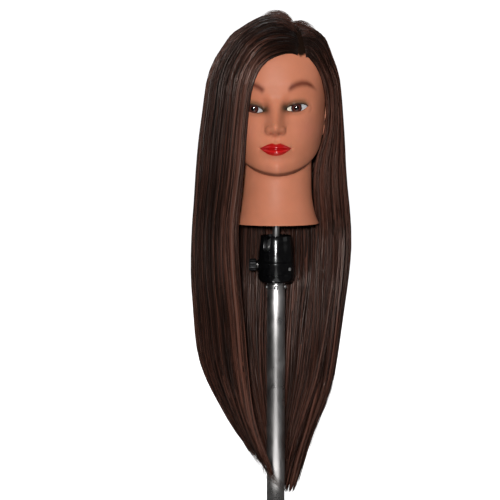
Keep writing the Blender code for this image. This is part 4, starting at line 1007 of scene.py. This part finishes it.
def hair_grid(name, skin_tree, rng):
    """Gives the hair's outer surface on one side: a grid of columns from parting to tip."""
    u = np.linspace(0, 1, HAIR_COLUMNS)
    slice_at, tips = (right_slice, RIGHT_TIPS) if name == "right" else (left_slice, LEFT_TIPS)
    rim_x, rim_y = slice_at(u, np.full_like(u, RIM_Z))
    crown = crown_grid(name, rim_x, rim_y)
    start = (*PARTING[0], crown[0, 0, 2])
    edge = edge_strand(name, start, rim_x[0], rim_y[0], skin_tree)
    near = smooth(EDGE_SHARE[name], 0.0, u)[:, None, None]
    crown = crown + (edge - crown[0])[None] * near
    ragged = np.interp(u, np.linspace(0, 1, 70), rng.uniform(-0.016, 0.016, 70))
    uneven = np.interp(u, np.linspace(0, 1, 22), rng.uniform(-0.012, 0.012, 22))
    ragged += uneven * (1 if name == "right" else 1.8)
    tip = np.clip(along(tips, u) + ragged * smooth(0.0, 0.05, u), *TIP_LIMITS)
    fall_z = RIM_Z + (tip[:, None] - RIM_Z) * np.linspace(0, 1, FALL_ROWS)[None, 1:]
    fall_x, fall_y = slice_at(np.broadcast_to(u[:, None], fall_z.shape), fall_z)
    fall = np.stack((fall_x, fall_y, fall_z), -1)
    points = np.concatenate((crown, fall), axis=1).transpose(1, 0, 2)
    for _ in range(EASING):  # the bend from dome to fall is eased
        points[2:-2] = (points[1:-3] + 2 * points[2:-2] + points[3:-1]) / 4
    return off_the_skin(points, skin_tree)


def off_the_skin(points, skin_tree):
    """Moves the crown's points out from the middle of the head until they clear the skin."""
    middle = Vector(HEAD_MIDDLE)
    for index in np.ndindex(points.shape[0] - FALL_ROWS // 2, points.shape[1]):
        point = Vector(points[index])
        if point.z < middle.z - 0.03:
            continue
        away = point - middle
        hit = skin_tree.ray_cast(middle, away.normalized())
        clear = HAIR_OFF_SKIN * min(1.0, 0.3 + index[1] / 30)  # less at the edge strand
        if hit[0] is not None and hit[3] + clear > away.length:
            points[index] = middle + away.normalized() * (hit[3] + clear)
    return points


def off_the_tube(path):
    """Moves places below the clamp out from the column's axis until they clear the tube."""
    reach = np.maximum(np.hypot(path[..., 0], path[..., 1]), 1e-6)
    push = np.where(path[..., 2] < TUBE_TOP, np.maximum(HAIR_OFF_TUBE / reach, 1), 1)
    return path * np.stack((push, push, np.ones_like(push)), -1)


def grid_normals(points, name):
    """Gives the outward normals of a hair grid."""
    down = np.gradient(points, axis=0)
    across = np.gradient(points, axis=1)
    normal = unit(np.cross(across, down) if name == "left" else np.cross(down, across))
    outward = points - (0, 0.01, 0)
    outward[..., 2] = np.maximum(points[..., 2] - RIM_Z, 0)
    if (np.einsum("ijk,ijk->ij", normal, outward) > 0).mean() < 0.5:
        normal = -normal
    return normal


def wavy(rng, u, s, waves, slow, fast):
    """Gives a smooth random field over the hair, from -1 to 1: ridges that follow the strands."""
    field = np.zeros(np.broadcast(u, s).shape)
    for _ in range(waves):
        pitch = rng.uniform(slow, fast)
        drift = rng.uniform(-0.02, 0.02)
        phase, along_phase = rng.uniform(0, 2 * np.pi, 2)
        swell = 0.6 + 0.4 * np.sin(2 * np.pi * rng.uniform(0.4, 1.4) * s + along_phase)
        field += swell * np.sin(2 * np.pi * pitch * (u + drift * s) + phase)
    return field / math.sqrt(waves)


def place_on(grid, rows, columns):
    """Reads a grid between its rows and columns."""
    last_row, last_column = grid.shape[0] - 1, grid.shape[1] - 1
    r = np.clip(rows, 0, last_row - 1e-6)
    c = np.clip(columns, 0, last_column - 1e-6)
    i, j = r.astype(int), c.astype(int)
    fr, fc = (r - i)[..., None], (c - j)[..., None]
    near = grid[i, j] * (1 - fc) + grid[i, j + 1] * fc
    far = grid[i + 1, j] * (1 - fc) + grid[i + 1, j + 1] * fc
    return near * (1 - fr) + far * fr


def finish_hair(piece, *nodes):
    """Bakes a piece of hair's place into its mesh, in place of its CAD solids."""
    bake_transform(piece)
    if nodes:
        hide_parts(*nodes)


def tone(side, u, s):
    """Gives how much lighter or darker the hair is painted at a place: painted shade at the roots, a
    painted highlight along the front edge and painted shade beside it.
    """
    rows = CROWN_ROWS + FALL_ROWS - 1
    root = smooth(0.62 * CROWN_ROWS / rows, 0.10 * CROWN_ROWS / rows, s) * smooth(0.55, 0.20, u)
    if side == "right":
        # painted highlight along the front edge, painted shade in the band beyond it, and painted shade at
        # the roots
        front = 0.20 * bell(u, 0.025, 0.030) - 0.26 * bell(u, 0.17, 0.10)
        return front * smooth(0.12, 0.25, s) - 0.42 * root
    if side == "left":
        # painted highlight in a band near the front halfway down; painted shade lower down, further back
        # and at the roots
        light = 0.22 * bell(u, 0.10, 0.12) * bell(s, 0.42, 0.10) - 0.14 * smooth(0.52, 0.62, s)
        return light - 0.10 * bell(u, 0.34, 0.10) - 0.30 * root
    # the curtain and the frizz: darker higher up, lighter towards the tips
    return np.broadcast_to(-0.10 + 0.14 * smooth(0.55, 1.0, s), root.shape)


def make_sheet(name, points, normals, rng, material, *nodes):
    """Makes one body of hair: a closed sheet, ridged outside and in, thin at its edges."""
    rows, columns = points.shape[:2]
    u = np.linspace(0, 1, columns)[None, :]
    s = np.linspace(0, 1, rows)[:, None]
    ridges = 0.0011 * wavy(rng, u, s, 9, 14, 44) + 0.0005 * wavy(rng, u, s, 8, 50, 95)
    lengthwise = smooth(0.0, 0.10, s) * (1 - 0.4 * smooth(0.9, 1.0, s))
    part = -0.0040 * bell(s, 0, 0.022)  # the furrow of the parting
    outer = points + normals * (ridges * lengthwise + part)[..., None]
    edge = np.sqrt(np.clip(1 - (1 - np.clip(u / 0.09, 0, 1)) ** 2, 0, 1))
    depths = [
        (0, 0.003), (0.06, 0.007), (CROWN_ROWS / rows, HAIR_THICKNESS), (0.5, HAIR_THICKNESS),
        (0.85, 0.010), (1, 0),
    ]
    depth = TIP_THICKNESS + along(depths, s) * edge
    depth = depth + 0.0010 * wavy(rng, u, s, 8, 18, 60) * lengthwise
    inner = points - normals * depth[..., None]
    inner[:, 0] = points[:, 0] - normals[:, 0] * TIP_THICKNESS
    count = rows * columns
    border = np.concatenate((
        np.arange(columns), np.arange(1, rows) * columns + columns - 1,
        (rows - 1) * columns + np.arange(columns - 2, -1, -1), np.arange(rows - 2, 0, -1) * columns,
    ))
    following = np.roll(border, -1)
    walls = np.stack((border, following, following + count, border + count), -1)
    flip = name != "left"
    faces = [
        grid_faces(rows, columns, 0, flip=flip), grid_faces(rows, columns, count, flip=not flip),
        walls if flip else walls[:, ::-1],
    ]
    uv = np.stack(np.broadcast_arrays(HAIR_UV[0] * u, HAIR_UV[1] * s), -1).reshape(-1, 2)
    # random tone along the strands, with tone()'s painted highlight and shade added
    shade = 0.50 + 0.20 * wavy(rng, u, s, 8, 6, 40) + tone(name, u, s)
    # the inner face is painted darker than the outer: painted shade on the inner face
    shade_in = 0.34 + 0.18 * wavy(rng, u, s, 8, 10, 50)
    sheet = new_object(
        f"hair_{name}_body", np.concatenate((outer.reshape(-1, 3), inner.reshape(-1, 3))), faces, material,
        floats={"shade": np.concatenate((shade.ravel(), shade_in.ravel()))}, uv=np.concatenate((uv, uv)),
    )
    finish_hair(sheet, *nodes)
    return outer, inner


def make_strands(name, side, kind, points, normals, rng, material, amount=1.0):
    """Makes many tapered closed strands of a kind that follow the hair's surface."""
    rows, columns = points.shape[:2]
    kind = STRANDS[kind]
    count, knots, sides = int(kind["count"] * amount), kind["knots"], kind.get("sides", 3)
    last = (kind["last"][0], kind["last"][1] + (TIP_REACH[side] if "reaches" in kind else 0))
    flare = TIP_FLARE[side] if "flares" in kind else 0.0

    def draw(limits):
        """Draws a number between two limits for each strand."""
        return rng.uniform(*limits, count)[:, None]

    t = np.linspace(0, 1, knots)[None, :]
    start, stop = draw(kind["first"]), draw(last)
    s = start + (stop - start) * t
    u = draw(kind.get("across", (0, 1)))
    sway = np.sin(2 * np.pi * draw((0.3, 1.1)) * s + draw((0, 2 * np.pi))) * draw((0.3, 1))
    u = np.clip(u + kind["wander"] * sway, 0.004, 0.998)
    row, column = s * (rows - 1), u * (columns - 1)
    end_row = np.full_like(row, rows - 1)
    end = place_on(points, end_row, column)
    out = place_on(normals, row, column)

    # Past the tips a strand runs straight on, but no lower than the lowest tip
    beyond = np.clip(s - 1, 0, None) * (rows - 1) / 2
    run_on = (end - place_on(points, end_row - 2, column)) * beyond[..., None]
    room = (end[..., 2] - LOWEST_TIP) / np.maximum(-run_on[..., 2], 1e-6)
    path = place_on(points, row, column) + run_on * np.clip(room, 0, 1)[:, -1:, None]
    rise = draw(kind["lift"]) * (0.35 + 0.65 * np.sin(np.pi * np.clip(t, 0.02, 0.98)) ** 0.5)
    rise = rise + draw((0, flare)) * smooth(0.80, 1.05, s)
    path = path + out * rise[..., None]
    for axis, spread in ((0, 0.0035), (1, 0.0030)):
        path[..., axis] += draw((-1, 1)) * spread * smooth(0.85, 1.05, s)
    path = off_the_tube(path)

    run = unit(np.gradient(path, axis=1))
    beside = unit(np.cross(run, out))
    face = np.cross(beside, run)
    taper = np.clip(np.minimum((t + 0.02) * 10, (1.02 - t) * 5), 0.06, 1) ** 0.7
    half_width, half_thick = draw(kind["width"]) * taper, draw(kind["thick"]) * taper
    ring = []
    for turn in 2 * np.pi * (np.arange(sides) + 0.5) / sides:
        sideways = beside * (half_width * math.cos(turn))[..., None]
        ring.append(path + sideways + face * (half_thick * math.sin(turn))[..., None])
    one = grid_faces(knots, sides, wrap=True)
    low_cap = np.arange(sides)[::-1][None]
    high_cap = ((knots - 1) * sides + np.arange(sides))[None]
    offsets = (np.arange(count) * knots * sides)[:, None, None]
    # each strand's random tone, with tone()'s painted highlight and shade added
    shade = np.clip(draw(kind["shade"]) + tone(side, u, s), 0, 1)[..., None]
    across = (u * HAIR_UV[0])[..., None] + 0.0012 * np.arange(sides)
    uv = np.stack(np.broadcast_arrays(across, (s * HAIR_UV[1])[..., None]), -1)
    strands = new_object(
        name, np.stack(ring, 2),
        [(f[None] + offsets).reshape(-1, f.shape[1]) for f in (one, low_cap, high_cap)],
        material, floats={"shade": np.broadcast_to(shade, (count, knots, sides))}, uv=uv,
    )
    finish_hair(strands)


def make_curtain(rng, body, lock, strand):
    """Makes the hair that hangs behind the neck and the clamp, inside the two sides."""
    u = np.linspace(0, 1, CURTAIN_COLUMNS)[None, :]
    ragged = np.interp(u, np.linspace(0, 1, 40), rng.uniform(-0.014, 0.014, 40))
    tips = 0.085 - 0.030 * bell(u, 0.5, 0.25) + ragged
    z = CURTAIN[0][0] + (tips - CURTAIN[0][0]) * np.linspace(0, 1, CURTAIN_ROWS)[:, None]
    low, high, depth = [along(CURTAIN[::-1], z, k) for k in range(1, 4)]
    points = np.stack((low + (high - low) * u, depth - CURTAIN_WRAP * np.abs(2 * u - 1) ** 3, z), -1)
    normals = np.zeros(points.shape) + (0, -1, 0)
    outer = make_sheet("curtain", points, normals, rng, body)[0]
    for kind, material in (("curtain_locks", lock), ("curtain_strands", strand)):
        make_strands(f"hair_{kind}", "curtain", kind, outer, normals, rng, material)


def make_hair(skin, rng):
    """Makes both sides of the hair: the bodies, locks and strands over them, and loose tips."""
    body, strand = hair_material("hair_body"), hair_material("hair_strand", 1.15, streaked=False)
    lock = hair_material("hair_lock", 1.05)
    surface = BVHTree.FromObject(skin, bpy.context.evaluated_depsgraph_get())
    for side, amount in SIDE_AMOUNT.items():
        points = hair_grid(side, surface, rng)
        normals = grid_normals(points, side)
        outer, inner = make_sheet(side, points, normals, rng, body, *HAIR_NODES[side])
        for kind, base, out, material in (
            ("locks", outer, normals, lock), ("strands", outer, normals, strand),
            ("inner_locks", inner, -grid_normals(inner, side), lock),
            ("tips", points, normals, strand), ("ends", points, normals, lock),
        ):
            make_strands(f"hair_{side}_{kind}", side, kind, base, out, rng, material, amount)
        # Short loose hairs stand up along the parting
        top, top_normals = outer[:FRIZZ_ROWS], normals[:FRIZZ_ROWS]
        make_strands("hair_frizz", "frizz", "frizz", top, top_normals, rng, strand)
    make_curtain(rng, body, lock, strand)


# ---------------------------------------------------------------- ball clamp and column


def lathe_mesh(profile, steps, closed=False, radius_at=None):
    """Gives the points and faces of a profile of radius and height, turned about +Z."""
    profile = np.array(profile, float)
    turn = np.linspace(0, 2 * np.pi, steps, endpoint=False)
    radius = profile[:, :1] + (radius_at(turn)[None, :] * (profile[:, :1] > 0) if radius_at else 0)
    points = np.broadcast_arrays(radius * np.cos(turn), radius * np.sin(turn), profile[:, 1:])
    faces = [grid_faces(len(profile), steps, wrap=True)]
    if closed:
        last = (len(profile) - 1) * steps
        j = np.arange(steps)
        k = (j + 1) % steps
        faces.append(np.stack((last + j, last + k, k, j), -1))
    return np.stack(points, -1).reshape(-1, 3), faces


def turned(name, profile, material, body, slot, node, steps=96, closed=False, place=None, radius_at=None):
    """Makes a turned piece in millimetres that stands for a CAD node and rides on its body."""
    points, faces = lathe_mesh(np.array(profile) * MM, steps, closed, radius_at)
    if place is not None:
        points = points @ np.array(place.to_3x3()).T + np.array(place.translation)
    piece = new_object(name, points, faces, material)
    cleaned(piece)
    stand_for(piece, body, slot, node)
    return piece


def rounded(points, radius, steps=3):
    """Rounds the corners of a closed profile by an arc of a radius, in the profile's own unit."""
    points = np.array(points, float)
    out = []
    for before, here, after in zip(np.roll(points, 1, 0), points, np.roll(points, -1, 0)):
        to_before, to_after = before - here, after - here
        reach = min(radius, 0.45 * np.linalg.norm(to_before), 0.45 * np.linalg.norm(to_after))
        start = here + to_before / np.linalg.norm(to_before) * reach
        stop = here + to_after / np.linalg.norm(to_after) * reach
        for t in np.linspace(0, 1, steps + 1):
            out.append((1 - t) ** 2 * start + 2 * t * (1 - t) * here + t**2 * stop)
    return out


def radial(angle, z):
    """Lays a piece turned about +Z along a level radius."""
    across = Matrix.Rotation(math.pi / 2, 4, "Y")
    return Matrix.Translation((0, 0, z)) @ Matrix.Rotation(angle, 4, "Z") @ across


def carve(piece, cutters):
    """Takes cutters out of a piece and removes them."""
    for cutter in cutters:
        boolean = piece.modifiers.new("Cut", "BOOLEAN")
        boolean.operation = "DIFFERENCE"
        boolean.solver = "EXACT"
        boolean.object = cutter
    bpy.context.view_layer.update()
    shown = piece.evaluated_get(bpy.context.evaluated_depsgraph_get())
    mesh = bpy.data.meshes.new_from_object(shown)
    piece.modifiers.clear()
    piece.data = mesh
    for cutter in cutters:
        bpy.data.objects.remove(cutter)
    mesh.set_sharp_from_angle(angle=SHARP_ANGLE)


def plain_solid(kind, place, size):
    """Makes a box or a rod of a size, in metres, as a cutter: the rod lies along its own z."""
    bm = bmesh.new()
    matrix = place @ Matrix.Diagonal((*size, 1))
    if kind == "box":
        bmesh.ops.create_cube(bm, size=1.0, matrix=matrix)
    else:
        bmesh.ops.create_cone(
            bm, cap_ends=True, segments=48, radius1=0.5, radius2=0.5, depth=1.0, matrix=matrix
        )
    mesh = bpy.data.meshes.new("cutter")
    bm.to_mesh(mesh)
    bm.free()
    cutter = bpy.data.objects.new("cutter", mesh)
    bpy.context.scene.collection.objects.link(cutter)
    return cutter


def drill(angle, height, diameter, middle, length):
    """Makes a cutter along a level radius, its middle at a distance from the column's axis."""
    place = radial(angle, height) @ Matrix.Translation((0, 0, middle))
    return plain_solid("rod", place, (diameter, diameter, length))


def make_housing(black):
    """Makes the clamp's housing, with its notch for the stem and the holes for knob and screw."""
    seat = [
        (SEAT_R * math.cos(a), BALL_Z + SEAT_R * math.sin(a))
        for a in np.linspace(0, math.acos(MOUTH_R / SEAT_R), 10)
    ]
    profile = HOUSING_OUTSIDE + seat + [(MOUTH_R, seat[-1][1] + 3.0)]
    shell = turned(
        "clamp_housing", profile, black, "housing", "black_plastic", "housing_shell", closed=True
    )
    notch = Matrix.Rotation(NOTCH_ANGLE, 4, "Z") @ Matrix.Translation((0.023, 0, 0.4000))
    carve(shell, [
        plain_solid("box", notch, (0.034, NOTCH_WIDTH, 0.035)),
        drill(NOTCH_ANGLE, NOTCH_Z, NOTCH_WIDTH, 0.023, 0.034),
        drill(KNOB_ANGLE, KNOB_Z, 0.012, 0.026, 0.028),
        drill(PAN_SCREW_ANGLE, PAN_SCREW_Z, 0.0054, 0.026, 0.028),
    ])
    profile = rounded(BASE_PROFILE, 0.8)
    turned("clamp_base", profile, black, "housing", "black_plastic", "housing_base", closed=True)


def make_domed_screw(side, angle, steel):
    """Makes one of the domed cross-slotted screws at the top of the column."""
    start, rise = SCREW_DOME
    dome = [
        (SCREW_R * math.sin(a), start + rise * math.cos(a)) for a in np.linspace(0.2, 1.57, 8)
    ]
    shank = [(SCREW_R, start), (SCREW_R / 2, start), (SCREW_R / 2, 6.0), (0, 6.0)]
    place = radial(angle, SCREW_Z)
    screw = turned(
        f"dome_screw_{side}", [(0, start + rise)] + dome + shank, steel, "column", "bright_steel",
        f"column_screw_{side}", steps=40, place=place,
    )
    face = place @ Matrix.Translation((0, 0, 0.0146))
    turns = (math.pi / 4, -math.pi / 4)
    carve(screw, [plain_solid("box", face @ Matrix.Rotation(turn, 4, "Z"), SLOT_SIZE) for turn in turns])


def make_clamp(black, satin_black, steel, tube_steel):
    """Makes finer versions of the clamp's housing, its knob, the column and the stem."""
    make_housing(black)
    turned(
        "clamp_knob", KNOB_PROFILE, satin_black, "lock_knob", "black_plastic", "lock_knob", steps=144,
        closed=True, place=radial(KNOB_ANGLE, KNOB_Z),
        radius_at=lambda a: -KNOB_FLUTE_DEPTH * (1 - np.cos(KNOB_FLUTES * a)),
    )
    ball = [
        (BALL_R * math.cos(a), BALL_Z + BALL_R * math.sin(a)) for a in np.linspace(1.30, -math.pi / 2, 30)
    ]
    ball = [(0, 384.0), (4.0, 384.0)] + ball[:-1] + [(0, BALL_Z - BALL_R)]
    turned("stem_ball", ball, steel, "head", "bright_steel", "ball")
    turned("stem_rod", STEM_PROFILE, steel, "head", "bright_steel", "stem", steps=64)
    collar, tube = rounded(COLLAR_PROFILE, 0.5), rounded(TUBE_PROFILE, 0.35)
    turned("collar", collar, steel, "column", "bright_steel", "collar_ring", closed=True)
    turned("column", tube, tube_steel, "column", "brushed_tube", "column_tube", closed=True)
    for i, side in enumerate(("left", "back", "right", "front")):
        make_domed_screw(side, i * math.pi / 2, steel)


def dress_nodes(materials):
    """Gives each CAD node that stays in view its procedural material."""
    slots = {row["node"]: row["material_slot"] for row in frame["record"]["subparts"]}
    for name, node in NODES.items():
        node.data.materials.clear()
        node.data.materials.append(materials["blackened"] if name in DARK_NODES else materials[slots[name]])


# ---------------------------------------------------------------- stage


def make_stage():
    """Makes the round white studio, and a glowing strip that only gloss can see, for the tube."""
    white = new_material(
        "studio_white", base_color=(0.86, 0.86, 0.86, 1.0), roughness=0.9,
        emission_color=(1, 1, 1, 1), emission_strength=1.0,
    )
    paper = ramp(white, noise(white, 3, 2), [(0.3, 0.86), (0.7, 0.89)])
    link(white, paper, shader_of(white).inputs["Base Color"])
    bend = [
        (STUDIO_R - STUDIO_BEND * (1 - math.sin(a)), STUDIO_BEND * (1 - math.cos(a)))
        for a in np.linspace(0, math.pi / 2, 14)
    ]
    points, faces = lathe_mesh([(0, 0), (1.0, 0), *bend, (STUDIO_R, STUDIO_TOP)], 96)
    studio = new_object("studio", points, faces, white)
    studio.visible_diffuse = False  # the object is lit by the lamps, not by the paper
    studio.visible_glossy = False

    glow = new_material(
        "floor_glow", base_color=(0, 0, 0, 1.0), roughness=1.0, emission_strength=GLOW_STRENGTH
    )
    fade = ramp(glow, noise(glow, 2, 1), [(0.3, 0.90), (0.7, 1.0)])
    link(glow, fade, shader_of(glow).inputs["Emission Color"])
    corners = [
        (side * GLOW_WIDTH / 2, y, GLOW_Z)
        for side, y in ((-1, GLOW_FAR), (1, GLOW_FAR), (1, GLOW_NEAR), (-1, GLOW_NEAR))
    ]
    strip = new_object("floor_glow", corners, [np.array([[0, 1, 2, 3]])], glow)
    strip.visible_camera = strip.visible_diffuse = strip.visible_shadow = False


def looking(thing, place, aim):
    """Puts a lamp or camera at a place, looking at a point."""
    thing.location = place
    thing.rotation_euler = (Vector(aim) - Vector(place)).to_track_quat("-Z", "Y").to_euler()
    bpy.context.scene.collection.objects.link(thing)


def make_studio():
    """Sets up the lamps, which are square and soft, the world and the camera."""
    for name, (size, power, place, aim_z) in LAMPS.items():
        data = bpy.data.lights.new(name, "AREA")
        data.size = size
        data.energy = power
        looking(bpy.data.objects.new(name, data), place, (0, 0, aim_z))
    world = bpy.data.worlds.new("studio")
    world.use_nodes = True
    background = world.node_tree.nodes["Background"]
    background.inputs["Color"].default_value = (1, 1, 1, 1)
    background.inputs["Strength"].default_value = WORLD_STRENGTH
    scene = bpy.context.scene
    scene.world = world
    scene.view_settings.view_transform = "Standard"
    data = bpy.data.cameras.new("camera")
    scene.camera = bpy.data.objects.new("camera", data)
    place, aim = (CAMERA_X, -CAMERA_DISTANCE, CAMERA_HEIGHT), (CAMERA_X, 0, CAMERA_AIM_Z)
    looking(scene.camera, place, aim)
    data.sensor_width = SENSOR_WIDTH
    data.lens = SENSOR_WIDTH * math.dist(place, aim) / VIEW_WIDTH


# ---------------------------------------------------------------- the whole scene

make_studio()
make_stage()
rng = np.random.default_rng(7)
skin_vinyl = skin_material()
steel = steel_material("bright_steel", (0.72, 0.71, 0.70), 0.32)
tube_steel = steel_material(
    "brushed_tube", (0.56, 0.54, 0.53), 0.30, 1.0, (1400, 1400, 14), 0.20, anisotropic=0.55
)
black = black_plastic_material("black_plastic", 0.14)
satin_black = black_plastic_material("satin_black", 0.42)
core_foam = moulded_material("core_foam", (0.80, 0.74, 0.60), 0.9)
dress_nodes({
    "skin_vinyl": skin_vinyl,
    "eye_acrylic": moulded_material("eye_node", (0.6, 0.58, 0.56), 0.2),
    "core_foam": core_foam,
    "blackened": steel_material("blackened_steel", (0.045, 0.043, 0.042), 0.38),
    "hair": hair_material("hair_node", streaked=False),
    "black_plastic": black,
    "grey_plastic": moulded_material("grey_plastic", (0.30, 0.30, 0.31), 0.5),
    "nylon": moulded_material("nylon", (0.75, 0.74, 0.70), 0.45),
    "rubber": moulded_material("rubber", (0.03, 0.03, 0.03), 0.8),
    "brushed_tube": tube_steel,
    "bright_steel": steel,
    "brass": steel_material("brass", (0.75, 0.55, 0.22), 0.30),
})
skin = make_skin(skin_vinyl)
make_eyes(eye_material())
make_ears(skin_vinyl)
make_foam(core_foam)
make_hair(skin, rng)
make_clamp(black, satin_black, steel, tube_steel)
